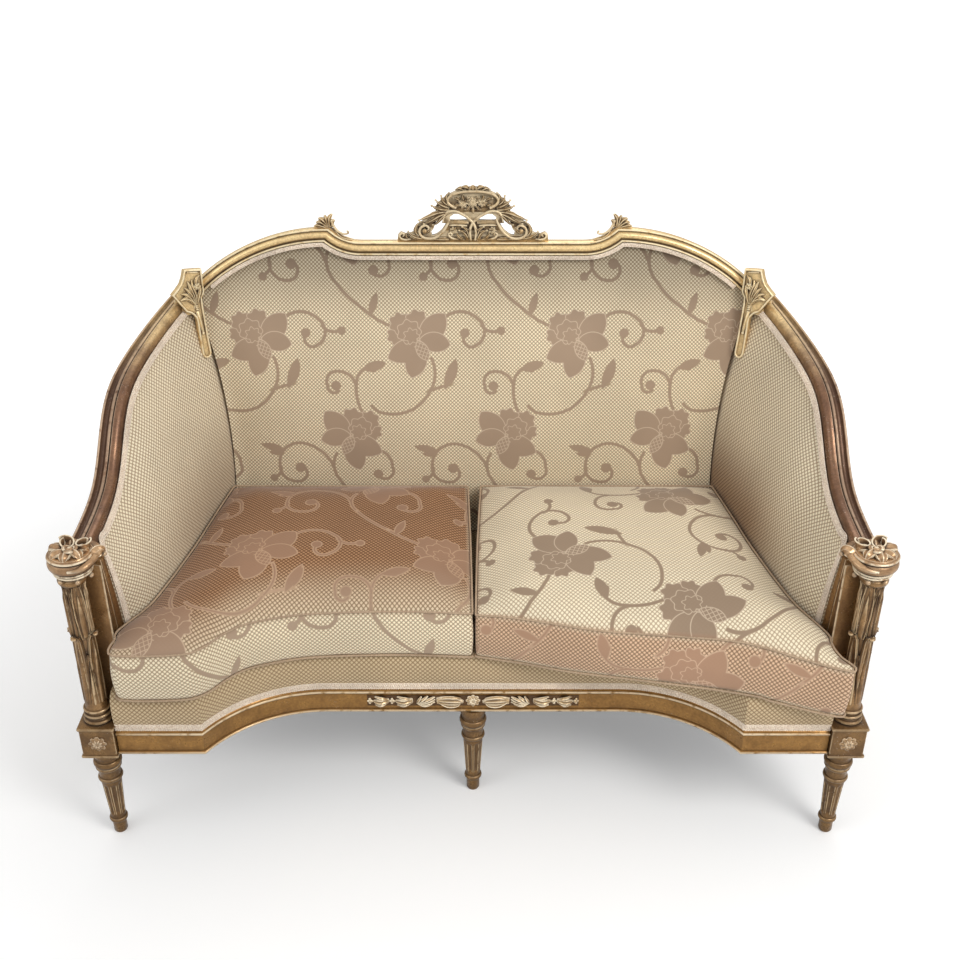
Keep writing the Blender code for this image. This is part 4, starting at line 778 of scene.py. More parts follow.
finish["frame_wood"] = woodMaterial("bareBeech", (0.55, 0.39, 0.23), (0.4, 0.26, 0.14))
finish["gimp_braid"] = strandMaterial("gimpBraid", (0.97, 0.87, 0.73), (0.68, 0.54, 0.42), 420.0)
finish["welt"] = strandMaterial("weltCord", (0.5, 0.37, 0.25), (0.34, 0.235, 0.15), 480.0)
finish["jute_webbing"] = strandMaterial("juteWebbing", (0.46, 0.34, 0.19), (0.3, 0.21, 0.11), 500.0)
finish["cambric"] = strandMaterial("blackCambric", (0.045, 0.043, 0.042), (0.022, 0.021, 0.021), 650.0)
finish["spring_steel"] = strandMaterial("springSteel", (0.42, 0.41, 0.4), (0.3, 0.28, 0.26), 60.0, 0.38, 0.9)
for entry in frame["record"]["subparts"]:
    item = frame["nodes"][entry["node"]]
    item.data.materials.clear()
    item.data.materials.append(finish[entry["material_slot"]])
    item.data.shade_smooth()
    item.data.set_sharp_from_angle(angle=math.radians(38))
print("materials ready")

# view, light and floor
studio = {"key": 50.0, "fill": 13.0, "low": 0.33, "high": 0.79, "near": 0.14, "far": 0.62}
camera = bpy.data.objects.new("camera", bpy.data.cameras.new("camera"))
camera.location = (0.0, -2.05, 1.767)
camera.rotation_euler = (math.radians(60.5), 0, 0)
camera.data.lens = 45.0
camera.data.sensor_width = 36.0
camera.data.shift_x = 0.0073
scene.collection.objects.link(camera)
scene.camera = camera
scene.view_settings.view_transform = "Standard"


def areaLamp(name, place, target, size, power, colour=(1, 1, 1)):
    lamp = bpy.data.lights.new(name, "AREA")
    lamp.shape = "DISK"
    lamp.size = size
    lamp.energy = power
    lamp.color = colour
    item = bpy.data.objects.new(name, lamp)
    item.location = place
    item.rotation_euler = (Vector(target) - Vector(place)).to_track_quat("-Z", "Y").to_euler()
    scene.collection.objects.link(item)


areaLamp("keyLamp", (1.8, -1.9, 2.55), (0, 0.0, 0.4), 1.5, studio["key"], (1, 0.985, 0.96))
areaLamp("fillLamp", (-2.4, -1.6, 2.0), (0, 0.1, 0.5), 2.2, studio["fill"], (0.97, 0.985, 1))
areaLamp("rimLamp", (0.2, 2.2, 2.6), (0, 0.2, 0.7), 1.8, studio["fill"] * 0.8)
world = bpy.data.worlds.new("studioSky")
scene.world = world
world.use_nodes = True
sky = world.node_tree
sky.nodes.clear()
rays = sky.nodes.new("ShaderNodeLightPath")
seen = calc(sky, "MAXIMUM", rays.outputs["Is Camera Ray"], rays.outputs["Is Transmission Ray"])
# softbox overhead, darker towards the horizon
skyward = split(sky, node(sky, "ShaderNodeTexCoord", out=0))[2]
strength = ramp(sky, skyward, -0.05, 0.6, studio["low"], studio["high"])
glow = node(sky, "ShaderNodeBackground", (1, 1, 1, 1), strength)
white = node(sky, "ShaderNodeBackground", (1, 1, 1, 1), 1.0)
shown = sky.nodes.new("ShaderNodeMixShader")
for socket, value in zip(shown.inputs, (seen, glow, white)):
    setInput(sky, socket, value)
feed(sky, sky.nodes.new("ShaderNodeOutputWorld").inputs, Surface=shown.outputs[0])

floorMesh = bpy.data.meshes.new("floor")
floorMesh.from_pydata([(-14, -14, 0), (14, -14, 0), (14, 14, 0), (-14, 14, 0)], [], [(0, 1, 2, 3)])
floor = bpy.data.objects.new("floor", floorMesh)
scene.collection.objects.link(floor)
floorPaint, floorTree, floorShader = newMaterial("floorPaint", roughness=0.9)
floorShader["Base Color"].default_value = (0.86, 0.86, 0.86, 1)
floorShader["Specular IOR Level"].default_value = 0.1
floorShader["Emission Color"].default_value = (1, 1, 1, 1)
floorRays = floorTree.nodes.new("ShaderNodeLightPath")
# the seen floor brightens away from the piece, as a lit sweep does
away = vecCalc(floorTree, "LENGTH", objectPlace(floorTree))
lift = ramp(floorTree, away, 0.9, 2.6, studio["near"], studio["far"])
lift = calc(floorTree, "MULTIPLY", floorRays.outputs["Is Camera Ray"], lift)
feed(floorTree, floorShader, Emission_Strength=lift)
floorMesh.materials.append(floorPaint)


# carried profiles
def bead(base, low, high, out, count=7):
    # half-round standing out from a base line, in (side, up) or (radius, height)
    angle = np.linspace(-math.pi / 2, math.pi / 2, count)
    middle, half = (low + high) / 2, (high - low) / 2
    return [(base + out * math.cos(a), middle + half * math.sin(a)) for a in angle]


def sweep(path, profile):
    # profile (side, up) along a path with true mitres; side is right of travel
    path = np.array(path, float)
    steps = unit(np.diff(path, axis=0))
    before = np.vstack([steps[:1], steps])
    after = np.vstack([steps, steps[-1:]])
    middle = unit(before + after)
    side = unit(np.cross(before, (0, 0, 1)))
    rise = np.cross(side, before)
    offset = np.array(profile, float)
    rings = side[:, None] * offset[None, :, :1] + rise[:, None] * offset[None, :, 1:]
    slide = np.einsum("ijk,ik->ij", rings, middle) / np.einsum("ik,ik->i", before, middle)[:, None]
    rings = rings - before[:, None] * slide[..., None] + path[:, None]
    return rings.reshape(-1, 3), rodFaces(len(path), len(profile))


def frontLine(steps=24):
    # plan of the serpentine front at the rail's face, left to right
    run, deep = sofa["arcRun"], sofa["recess"]
    radius = (run ** 2 + deep ** 2) / (2 * deep)
    flatY = sofa["postY"] - sofa["railFront"] + deep
    cx, cy = -sofa["frontCornerX"] + run, flatY - radius
    start = math.asin(run / radius)
    left = [(-sofa["railEndX"], sofa["postY"] - sofa["railFront"])]
    for i in range(steps):
        a = start * (1 - i / (steps - 1))
        left.append((cx - radius * math.sin(a), cy + radius * math.cos(a)))
    return left + [(-x, y) for x, y in reversed(left)]


frontPlan = np.array(frontLine())


def frontY(x):
    return np.interp(x, frontPlan[:, 0], frontPlan[:, 1])


def sideRailX(y):
    (x0, y0), (x1, y1) = sideRail
    return lerp(x0, x1, (y - y0) / (y1 - y0))


# swept arm: starts level, rises in one step and runs up to the corner
arm = {"x": 0.679, "y": -0.294, "z": 0.632, "flare": 0.012, "close": 0.091,
       "step": 0.1345, "stepAt": 0.4, "stepRun": 0.11, "endLift": 0.0034}
armEnd = backPoint(0, 0.012, sofa["cornerHeight"])


def armPoint(t):
    t = np.asarray(t, float)
    x = arm["x"] + arm["flare"] * t - arm["close"] * t ** 3
    rise = armEnd[2] + arm["endLift"] - arm["z"] - arm["step"]
    z = arm["z"] + arm["step"] * 0.5 * (1 + np.tanh((t - arm["stepAt"]) / arm["stepRun"])) + rise * t * t
    return np.stack([-x, lerp(arm["y"], armEnd[1], t), z], -1)


def armFrame(t):
    # middle of the left rail with its inward and upward directions
    along = unit(armPoint(np.minimum(t + 0.005, 1)) - armPoint(np.maximum(t - 0.005, 0)))
    inward = unit(np.cross(along, (0.0, 0.0, 1.0)))
    return armPoint(t), inward, np.cross(inward, along)


def crestZ(x):
    x = np.abs(np.asarray(x, float))
    run, rise, r = sofa["earX"] - sofa["crestFlatX"], sofa["earRise"], sofa["shoulderRadius"]
    cove = (run ** 2 + rise ** 2) / (2 * rise)
    low = cove - np.sqrt(np.maximum(cove ** 2 - (x - sofa["crestFlatX"]) ** 2, 0))
    drop = r - np.sqrt(np.maximum(r ** 2 - (x - sofa["earX"]) ** 2, 0))
    bent = np.where(x <= sofa["earX"], low, rise - drop)
    return sofa["crestHeight"] + np.where(x <= sofa["crestFlatX"], 0.0, bent)


def crestLine(endX, shoulderSteps, coveSteps):
    # x and height along the crest, with points at its ears
    left = -np.concatenate([np.linspace(endX, sofa["earX"], shoulderSteps),
                            np.linspace(sofa["earX"], sofa["crestFlatX"], coveSteps)[1:]])
    xs = np.concatenate([left, -left[::-1]])
    return xs, crestZ(xs)


# mouldings as (side, up), the face outwards
def crestProfile():
    back = sofa["crestBack"]
    rows = bead(-0.0005, -0.014, -0.0088, 0.004) + [(-0.002, -0.0078)]
    rows += bead(-0.0008, -0.0066, 0.0052, 0.0048, 11) + [(-0.003, 0.006), (-0.0045, 0.0068)]
    rows += bead(-0.0062, 0.0078, 0.0124, 0.003) + [(-0.009, 0.0134), (-0.013, 0.014), (-0.02, 0.0136)]
    rows += [(-back + 0.012, 0.0115), (-back + 0.005, 0.009), (-back + 0.001, 0.004)]
    return rows + [(-back, -0.008), (-back, -0.014)]


def armProfile():
    ovolo = [(0.016, -0.0046), (0.0158, 0.002), (0.014, 0.0082), (0.01, 0.0122), (0.005, 0.014),
             (0.0012, 0.0136)]
    rows = [(0.0164, -0.014)] + bead(0.0154, -0.0126, -0.0076, 0.0026) + [(0.0148, -0.006)]
    rows += [tuple(q) for q in smoothLine(ovolo, 14)] + [(0.0, 0.0096), (-0.0012, 0.0092)]
    rows += [(-0.0012 - 0.0034 * (1 - math.cos(a)), 0.01 + 0.0036 * math.sin(a))
             for a in np.linspace(0.1, 3.0, 9)]
    rows += [(-0.0086, 0.009), (-0.0104, 0.006), (-0.0132, 0.004), (-0.0164, 0.0042), (-0.0188, 0.0064),
             (-0.0194, 0.0078)]
    rows += [(-0.0224 - 0.0028 * math.cos(a), 0.008 + 0.0034 * math.sin(a))
             for a in np.linspace(2.9, -0.3, 9)]
    return rows + [(-0.026, 0.003), (-0.026, -0.014)]


def seatRailProfile():
    rows = [(-0.036, 0.001), (-0.001, 0.0)] + bead(0.0, 0.0004, 0.0078, 0.0052)
    rows += [(0.0, 0.0088), (-0.0004, 0.0102), (-0.0004, 0.0122), (-0.0004, 0.0408), (-0.0004, 0.0428),
             (0.0, 0.0436)]
    rows += bead(0.0, 0.0442, 0.05, 0.003) + [(-0.002, 0.052), (-0.004, 0.0549)]
    return rows + [(-sofa["railDepth"], 0.0549), (-sofa["railDepth"], 0.0012)]


def makeRails():
    xs, high = crestLine(sofa["crestEndX"] + 0.004, 44, 12)
    crest = sweep(np.stack([xs, xs * 0, high], -1), crestProfile())
    makePiece("crestRail", moved([crest], rakeMatrix), "gilt_crest", replaces=["crest_rail"])
    swept = sweep(armPoint(np.linspace(0.0, 1.0, 110)), armProfile())
    makePair("armRail", [swept], "gilt_arm", stands="arm_rail")
    profile, low = seatRailProfile(), sofa["railBottom"]
    front = sweep([(x, y, low) for x, y in frontPlan], profile)
    makePiece("frontRail", [front], "gilt_rail", replaces=["front_rail"])
    side = sweep([(-x - sofa["railHalf"], y, low) for x, y in reversed(sideRail)], profile)
    makePair("sideRail", [side], "gilt_rail", stands="side_rail")


makeRails()
print("rails ready")

# turned posts and legs
turning = {"flutes": 8, "fluteDepth": 0.003, "segments": 96}


def legProfile(top):
    # (radius, height) from the foot up
    rows = [(0.0112, 0.0), (0.013, 0.0035), (0.0132, 0.024), (0.0136, 0.0285)]
    rows += bead(0.0144, 0.0295, 0.0392, 0.0032)
    shaft = np.linspace(0.041, 0.136, 40)
    rows += [(lerp(0.0143, 0.0197, (z - 0.041) / 0.095), z) for z in shaft]
    rows += bead(0.0203, 0.138, 0.1465, 0.0032) + [(0.0203, 0.1485), (0.0207, 0.158), (0.0216, 0.164)]
    rows += bead(0.0226, 0.166, 0.1735, 0.002) + bead(0.0226, 0.1742, 0.188, 0.0042, 9)
    return rows + [(0.0224, 0.19), (0.023, 0.1945), (0.0248, 0.1985), (0.0252, 0.204), (0.0252, top)]


def fluted(angle, z, r):
    step = 2 * math.pi / turning["flutes"]
    away = np.abs((angle / step) % 1 - 0.5) * step
    groove = np.sqrt(np.maximum(0, 1 - (away / (0.3 * step)) ** 2))
    window = smoothStep(0.048, 0.056, z) * smoothStep(0.13, 0.122, z)
    return r - turning["fluteDepth"] * groove * window


def squareTurn(profile):
    # square block with moulded edges: (half width, height) from the bottom up
    chamfer, turns = 0.0014, ((1, 0), (0, 1), (-1, 0), (0, -1))
    rings = []
    for half, z in profile:
        side = [(half - chamfer, -half), (half, -half + chamfer), (half, -half * 0.8), (half, half * 0.8)]
        rings.append([(x * c - y * d, x * d + y * c, z) for c, d in turns for x, y in side])
    return np.array(rings).reshape(-1, 3), rodFaces(len(rings), len(rings[0]), caps=(1, 1))


def columnLeaf(angle, low, high, half, curl, radius, twist):
    # lancet leaf on the column: raised edges, a smaller lancet inside, the tip rolled outwards
    rows, cols = 44, 25
    t = np.linspace(0, 1, rows)
    z = lerp(low, high, np.minimum(t / 0.88, 1.0))
    roll = np.clip((t - 0.8) / 0.2, 0, 1)
    out = curl * np.sin(roll * math.pi * 0.62)
    z = z + curl * 0.55 * (np.cos(roll * math.pi * 0.95) - 1)
    width = half * np.interp(t, [0, 0.12, 0.38, 0.62, 0.82, 1], [0.66, 0.78, 1.0, 0.94, 0.66, 0.3])
    s = np.linspace(-1, 1, cols)
    away = np.abs(s)[None]
    inner = np.maximum(0.06, 0.5 * (1 - (t / 0.78) ** 2))[:, None]
    raised = 0.0012 + 0.0026 * np.exp(-((away - 0.82) / 0.12) ** 2) * (away < 0.97)
    lancet = np.sqrt(np.maximum(0, 1 - (away / inner) ** 2))
    raised = raised + 0.0036 * lancet * smoothStep(0.86, 0.62, t)[:, None]
    r = radius + out[:, None] + raised * smoothStep(0.0, 0.06, t)[:, None]
    turn = angle + twist * (t - 0.5)[:, None] + width[:, None] * s[None] / (radius + 0.002)
    front = np.stack([r * np.cos(turn), r * np.sin(turn), np.repeat(z[:, None], cols, 1)], -1)
    deep = np.maximum(radius - 0.003, radius + out - 0.003)[:, None] + 0 * s[None]
    back = np.stack([deep * np.cos(turn), deep * np.sin(turn), np.repeat(z[:, None], cols, 1)], -1)
    return shell(front, back)


# turn from each quarter, foot, tip, half width, curl, radius of the column, twist
columnLeaves = [
    (-0.4, 0.322, 0.486, 0.0132, 0.0075, 0.017, 0.22), (0.39, 0.322, 0.44, 0.007, 0.001, 0.016, 0.22),
    (-1.02, 0.474, 0.59, 0.0128, 0.002, 0.0172, -0.16), (-0.24, 0.474, 0.598, 0.0086, 0.001, 0.016, -0.16),
]


def makePosts():
    block = squareTurn([(0.0316, 0.213), (0.034, 0.2138), (0.0346, 0.216), (0.034, 0.2185), (0.0322, 0.2192),
                        (0.0318, 0.2215), (0.0318, 0.225), (0.0318, 0.271), (0.0318, 0.2745),
                        (0.0322, 0.2768), (0.0338, 0.2775), (0.0345, 0.28), (0.0338, 0.2828), (0.03, 0.284)])
    column = [(0.028, 0.2838)] + bead(0.0225, 0.2846, 0.293, 0.005, 9) + [(0.0214, 0.2942), (0.0212, 0.2968)]
    column += bead(0.0216, 0.298, 0.3048, 0.0042, 9) + [(0.0212, 0.3062), (0.021, 0.3085)]
    column += bead(0.0214, 0.3098, 0.3156, 0.0036, 9) + [(0.0206, 0.3172), (0.0202, 0.3215), (0.02, 0.345)]
    column += [(0.0172, 0.38), (0.0146, 0.42), (0.0142, 0.47), (0.0146, 0.52), (0.0152, 0.56),
               (0.0186, 0.586)]
    column += bead(0.0222, 0.59, 0.602, 0.003)
    parts = [lathe(legProfile(0.2135), turning["segments"], fluted), block, lathe(column, 48)]
    for i in range(4):
        turn = math.radians(90 * i)
        parts += [columnLeaf(turn + aside, *size) for aside, *size in columnLeaves]
        at = turn - 0.31
        parts.append(ball((0.0258 * math.cos(at), 0.0258 * math.sin(at), 0.4815), 0.004, (1.25, 1.25, 0.8)))
    spot = Matrix.Translation((-sofa["postX"], sofa["postY"], 0))
    makePair("frontPost", moved(parts, spot), "gilt_post", stands="front_post")
    centre = moved([lathe(legProfile(0.2147), turning["segments"], fluted)],
                   Matrix.Translation((0, -0.207, 0)))
    makePiece("centreLeg", centre, "gilt_post", replaces=["centre_front_leg"])


makePosts()


def carvedRosette(radius, petalCount=8):
    # flower on the XY plane facing +Z
    parts = [ball((0, 0, 0.0022), radius * 0.26, (1, 1, 0.75)),
             lathe([(radius * 0.5, 0.0), (radius * 0.5, 0.0012), (radius * 0.3, 0.0018)], 24)]
    for reach, lift, phase in ((1.0, 0.0016, 0.0), (0.62, 0.0032, 0.5)):
        for i in range(petalCount):
            a = 2 * math.pi * (i + phase) / petalCount
            d = np.array((math.cos(a), math.sin(a), 0))
            spine = [d * radius * 0.16 + (0, 0, lift * 0.7), d * radius * 0.55 * reach + (0, 0, lift * 1.25),
                     d * radius * reach + (0, 0, lift * 0.55)]
            wide = radius * reach * 0.36
            parts.append(leaf(spine, [wide * 0.5, wide, wide * 0.95, wide * 0.35], (0, 0, 1), 0.0014, 0.0014,
                              1.0, rows=9, cols=7))
    return parts


def makeRosettes():
    spot = Matrix.Translation((-sofa["postX"], sofa["postY"] - 0.0322, 0.2475)) @ facingFront
    makePair("rosette", moved(carvedRosette(0.0165), spot), "gilt_post", "rosette", "rosette")


makeRosettes()
print("posts ready")


# cloth work shared by pads and cushions
def inflate(rest, faces, pins, pressure, cap):
    # swell a mesh with the cloth solver; pins run from 0, free, to 1, held
    frames = 20
    mesh = bpy.data.meshes.new("swelling")
    mesh.from_pydata(np.asarray(rest).tolist(), [], [list(map(int, f)) for f in faces])
    item = bpy.data.objects.new("swelling", mesh)
    scene.collection.objects.link(item)
    hold = item.vertex_groups.new(name="pin")
    for level in np.unique(pins):
        if level > 0:
            hold.add(np.flatnonzero(pins == level).tolist(), float(level), "REPLACE")
    solver = item.modifiers.new("cloth", "CLOTH")
    settings = {"quality": 5, "tension_stiffness": 12, "compression_stiffness": 8, "shear_stiffness": 5,
                "bending_stiffness": 0.4, "use_pressure": True, "uniform_pressure_force": pressure,
                "vertex_group_mass": "pin", "pin_stiffness": 1.0}
    for key, value in settings.items():
        setattr(solver.settings, key, value)
    solver.settings.effector_weights.gravity = 0
    solver.collision_settings.use_collision = False
    solver.point_cache.frame_start = 1
    solver.point_cache.frame_end = frames
    for step in range(1, frames + 1):
        scene.frame_set(step)
    shaped = item.evaluated_get(bpy.context.evaluated_depsgraph_get()).to_mesh()
    out = np.empty(len(rest) * 3)
    shaped.vertices.foreach_get("co", out)
    move = out.reshape(-1, 3) - rest
    size = np.linalg.norm(move, axis=1, keepdims=True)
    move = move * np.minimum(1, cap / np.maximum(size, 1e-9))
    scene.frame_set(1)
    bpy.data.objects.remove(item, do_unlink=True)
    bpy.data.meshes.remove(mesh)
    print("swelled", len(rest), "points, most", round(float(size.max()) * 1000, 1), "mm")
    return rest + move


def swellPad(front, flip=False):
    # a pad's face, held along its four edges
    pins = np.ones(front.shape[:2])
    pins[1:-1, 1:-1] = 0
    shaped = inflate(front.reshape(-1, 3), gridFaces(*pins.shape, flip=flip), pins.ravel(), 1.6, 0.006)
    return shaped.reshape(front.shape)


def lengthAlong(grid, axis):
    # running length of each grid line, in metres
    step = np.linalg.norm(np.diff(grid, axis=axis), axis=2)
    pad = [(0, 0), (0, 0)]
    pad[axis] = (1, 0)
    return np.pad(np.cumsum(step, axis=axis), pad)


# upholstered wings
wing = {"thick": 0.028, "bulge": 0.03, "bottom": 0.335, "frontX": 0.645, "frontY": 0.087, "nearX": 0.575,
        "farX": 0.556, "backX": 0.528, "columns": 64, "rows": 44, "railStart": 0.05, "railInside": 0.021,
        "railUnder": 0.0146, "easeShare": 0.85, "easeRun": 0.16}


def wingLine(u):
    # plan of the pad's lower edge
    deep = (wing["bottom"] - sofa["pivotZ"]) / math.cos(sofa["rake"])
    endY = backPoint(0, sofa["padBack"], deep)[1]
    x = [-wing["frontX"], -wing["nearX"], -wing["farX"], -wing["backX"]]
    startY = sofa["postY"] + wing["frontY"]
    y = [startY, lerp(startY, endY, 0.22), lerp(startY, endY, 0.66), endY]
    share = [(1 - u) ** 3, 3 * u * (1 - u) ** 2, 3 * u * u * (1 - u), u ** 3]
    return sum(a * b for a, b in zip(share, x)), sum(a * b for a, b in zip(share, y))


def wingTop(u):
    middle, inward, rise = armFrame(lerp(wing["railStart"], 1.0, u))
    return middle + inward * wing["railInside"] - rise * wing["railUnder"], inward


def wingPoint(u, v, depth):
    # u towards the back, v upwards, depth 0 on the face and 1 behind it
    u, v = np.broadcast_arrays(np.asarray(u, float), np.asarray(v, float))
    x, y = wingLine(u)
    high, inward = wingTop(u)
    low = np.stack([x, y, np.full(u.shape, wing["bottom"])], -1)
    flat = low + (high - low) * v[..., None]
    ease = 1 - wing["easeShare"] * (1 - np.minimum(1, u / wing["easeRun"])) ** 2
    bulge = wing["bulge"] * 4 * v * (1 - v) * ease
    point = flat + inward * (bulge * (1 - depth) - wing["thick"] * depth)[..., None]
    local = placed(point, rakeMatrix.inverted())
    local[..., 1] = np.where(u > 0.999, sofa["padBack"], np.minimum(local[..., 1], sofa["padBack"]))
    return placed(local, rakeMatrix)


def makeWings():
    u, v = np.meshgrid(np.linspace(0, 1, wing["columns"]), np.linspace(0, 1, wing["rows"]), indexing="ij")
    front, back = wingPoint(u, v, 0.0), wingPoint(u, v, 1.0)
    along = lengthAlong(front, 0)[:, wing["rows"] // 2][:, None] + 0 * v
    uv = np.stack([along, front[..., 2]], -1).reshape(-1, 2)
    uv = np.vstack([uv, uv])
    # painted shade: the lower back of each wing turns towards the brown colours, fully on the right wing and
    # less on the left
    share = smoothStep(0.66, 0.47, front[..., 2]) * smoothStep(0.1, 0.65, u)
    share = np.concatenate([share.ravel(), share.ravel()]).astype(np.float32)
    left = [shell(swellPad(front), back)]
    for side, parts, way, shade in (("Left", left, 1, 0.45), ("Right", flipX(left), -1, 1.0)):
        piece = makePiece("insideWing" + side, parts, "wing_weave", replaces=["inside_wing_" + side.lower()],
                          uv=uv * (way, 1), sharp=60)
        piece.data.attributes.new("shade", "FLOAT", "POINT").data.foreach_set("value", share * shade)


makeWings()
print("wings ready")

# upholstered back between the wings, in the raked frame
backPad = {"bottom": 0.1043, "crown": 0.03, "columns": 121, "rows": 84, "shoulderX": 0.562}


def wingInnerX(height):
    z = backPoint(0, 0, height)[2]
    top = wingTop(np.array(1.0))[0][2]
    share = min(1.0, max(0.0, (z - wing["bottom"]) / (top - wing["bottom"])))
    return -wingPoint(1.0, share, 0.0)[0]


def makeBack():
    v = np.linspace(0, 1, backPad["rows"])
    s = np.linspace(-1, 1, backPad["columns"])
    edgeTop = crestZ(wingInnerX(sofa["cornerHeight"])) - sofa["crestUnder"]
    reach = np.array([wingInnerX(lerp(backPad["bottom"], edgeTop, k)) - 0.001 for k in v])
    reach = np.minimum(reach, lerp(reach, backPad["shoulderX"], smoothStep(0.74, 0.88, v)))
    x = s[:, None] * reach[None]
    high = lerp(backPad["bottom"], crestZ(x) - sofa["crestUnder"], v[None])
    crown = backPad["crown"] * (1 - np.abs(s[:, None]) ** 4) * np.sin(math.pi * v[None])
    local = np.stack([x, 0.006 * v[None] ** 6 - 0.001 - crown, high], -1)
    front = placed(local, rakeMatrix)
    local[..., 1] = sofa["padBack"]
    back = placed(local, rakeMatrix)
    uv = np.stack([x, high], -1).reshape(-1, 2)
    piece = makePiece("insideBack", [shell(swellPad(front, flip=True), back)], "back_damask",
                      replaces=["inside_back"], uv=np.vstack([uv, uv]), sharp=60)


makeBack()
print("back ready")


# stretched covers and the upholstered front border
cover = {"low": 0.2706, "frontY": -0.2905, "lowOut": 0.018, "highOut": 0.022, "thick": 0.0016, "columns": 60,
         "rows": 36, "backLow": 0.003, "backLowX": 0.6005, "backHighX": 0.611, "backOut": 0.0565,
         "backIn": 0.0549, "backColumns": 90, "backRows": 50}
border = {"low": 0.2703, "cornerRoom": 0.02}
borderFace = [(-0.002, 0.0), (-0.0014, 0.008), (-0.0006, 0.013), (0.0012, 0.019), (0.003, 0.029),
              (0.0036, 0.041), (0.003, 0.053), (0.001, 0.064), (-0.003, 0.0735), (-0.009, 0.08),
              (-0.017, 0.082)]
borderBack = [(-0.034, 0.082), (-0.034, 0.0)]


def sheetPiece(name, front, back, stands, uv, mirrored=False):
    parts = [shell(front, back)]
    uv = np.vstack([uv.reshape(-1, 2)] * 2)
    piece = makePiece(name, flipX(parts) if mirrored else parts, "wing_weave", "outside_weave",
                      replaces=[stands], uv=uv, sharp=60)


def makeCovers():
    t = np.linspace(0, 1, cover["columns"])
    y = lerp(cover["frontY"], sideRail[1][1], t)
    low = np.stack([-sideRailX(y) - cover["lowOut"], y, np.full(len(y), cover["low"])], -1)
    middle, inward, rise = armFrame(lerp(wing["railStart"], 1.0, t))
    high = middle - inward * cover["highOut"] - rise * wing["railUnder"]
    low = np.vstack([low, backPoint(-0.601, 0.0535, 0.03)])
    high = np.vstack([high, backPoint(-0.613, 0.0535, sofa["cornerHeight"])])
    v = np.linspace(0, 1, cover["rows"])[None, :, None]
    outer = low[:, None] + (high - low)[:, None] * v
    inner = outer + (cover["thick"], 0, 0)
    uv = np.stack([lengthAlong(outer, 0)[:, cover["rows"] // 2][:, None] + 0 * v[..., 0], outer[..., 2]], -1)
    sheetPiece("outsideWingLeft", outer, inner, "outside_wing_left", uv)
    sheetPiece("outsideWingRight", outer, inner, "outside_wing_right",
               uv * (-1, 1), True)
    s, v = np.meshgrid(np.linspace(-1, 1, cover["backColumns"]), np.linspace(0, 1, cover["backRows"]),
                       indexing="ij")
    x = s * lerp(cover["backLowX"], cover["backHighX"], v)
    tall = lerp(cover["backLow"], crestZ(x) - sofa["crestUnder"], v)
    outside, inside = (placed(np.stack([x, np.full(x.shape, cover[key]), tall], -1), rakeMatrix)
                       for key in ("backOut", "backIn"))
    sheetPiece("outsideBack", outside, inside, "outside_back", np.stack([x, tall], -1))


def makeBorder():
    # roll on the front rail, rounded over at the top
    profile = np.vstack([smoothLine(borderFace, 26), borderBack])
    path = np.array([(x, y, border["low"]) for x, y in frontLine(40)])
    # the mitre needs its room: no ring stands close to a corner
    cornerX = sofa["frontCornerX"]
    fromCorner = np.hypot(np.abs(path[:, 0]) - cornerX, path[:, 1] - frontY(cornerX))
    path = path[(fromCorner < 1e-6) | (fromCorner > border["cornerRoom"])]
    uv = np.stack(np.meshgrid(runLength(path), runLength(profile), indexing="ij"), -1).reshape(-1, 2)
    piece = makePiece("frontBorder", [sweep(path, profile)], "wing_weave", replaces=["front_border"], uv=uv,
                      sharp=50)


makeCovers()
makeBorder()

deck = {"low": 0.3343, "top": 0.3481, "dome": 0.0012, "frontGap": 0.0338, "columns": 99, "rows": 40}
# half width of the deck at each depth
deckSide = [(-0.312, 0.649), (-0.262, 0.648), (-0.24, 0.643), (-0.228, 0.6403), (-0.198, 0.6205),
            (-0.168, 0.6093), (-0.138, 0.5999), (-0.108, 0.5901), (-0.048, 0.5758), (0.012, 0.5642),
            (0.072, 0.5543), (0.132, 0.545), (0.192, 0.5359), (0.2419, 0.5275)]


def makeDeck():
    # sprung platform under the cushions, slightly domed
    v = np.linspace(0, 1, deck["rows"])
    frontEdge = sofa["postY"] - sofa["railFront"] + 0.034
    backHeight = (deck["low"] - sofa["pivotZ"]) / math.cos(sofa["rake"])
    backEdge = backPoint(0, sofa["padBack"] - 0.0003, backHeight)[1]
    reach = np.interp(lerp(frontEdge, backEdge, v), *zip(*deckSide))
    corner = sofa["frontCornerX"] / reach[0]
    s = np.sort(np.concatenate([np.linspace(-1, 1, deck["columns"]), [-corner, corner]]))
    x = s[:, None] * reach[None]
    y = lerp(frontY(x) + deck["frontGap"], backEdge, v[None])
    dome = deck["dome"] * (1 - s[:, None] ** 4) * np.sin(math.pi * v[None])
    top = np.stack([x, y, deck["top"] + dome], -1)
    low = top * (1, 1, 0) + (0, 0, deck["low"])
    uv = np.stack([x, y], -1).reshape(-1, 2)
    piece = makePiece("seatDeck", [shell(top, low)], "wing_weave", replaces=["seat_deck"],
                      uv=np.vstack([uv, uv]), sharp=60)


makeDeck()
print("covers ready")

# loose cushions: boxed, welted, crowned
cushionLook = {
    "bottom": 0.3528, "seam": 0.4528, "crown": 0.032, "shoulder": 0.16, "backRise": 0.014, "swell": 0.008,
    "columns": 66, "rows": 58, "box": 9, "scale": 1.12, "boxShift": 0.123, "welt": 0.002, "weltSides": 8,
    "pressure": 3.4, "cap": 0.02, "seamHold": 0.92, "overhang": -0.352,
}
# half width at the sides, from the front backwards, as (y, x)
cushionSide = [(-0.2855, 0.645), (-0.213, 0.6073), (-0.1405, 0.5873), (-0.068, 0.5713), (0.0045, 0.5569),
               (0.077, 0.5452), (0.1495, 0.5326), (0.219, 0.5195)]


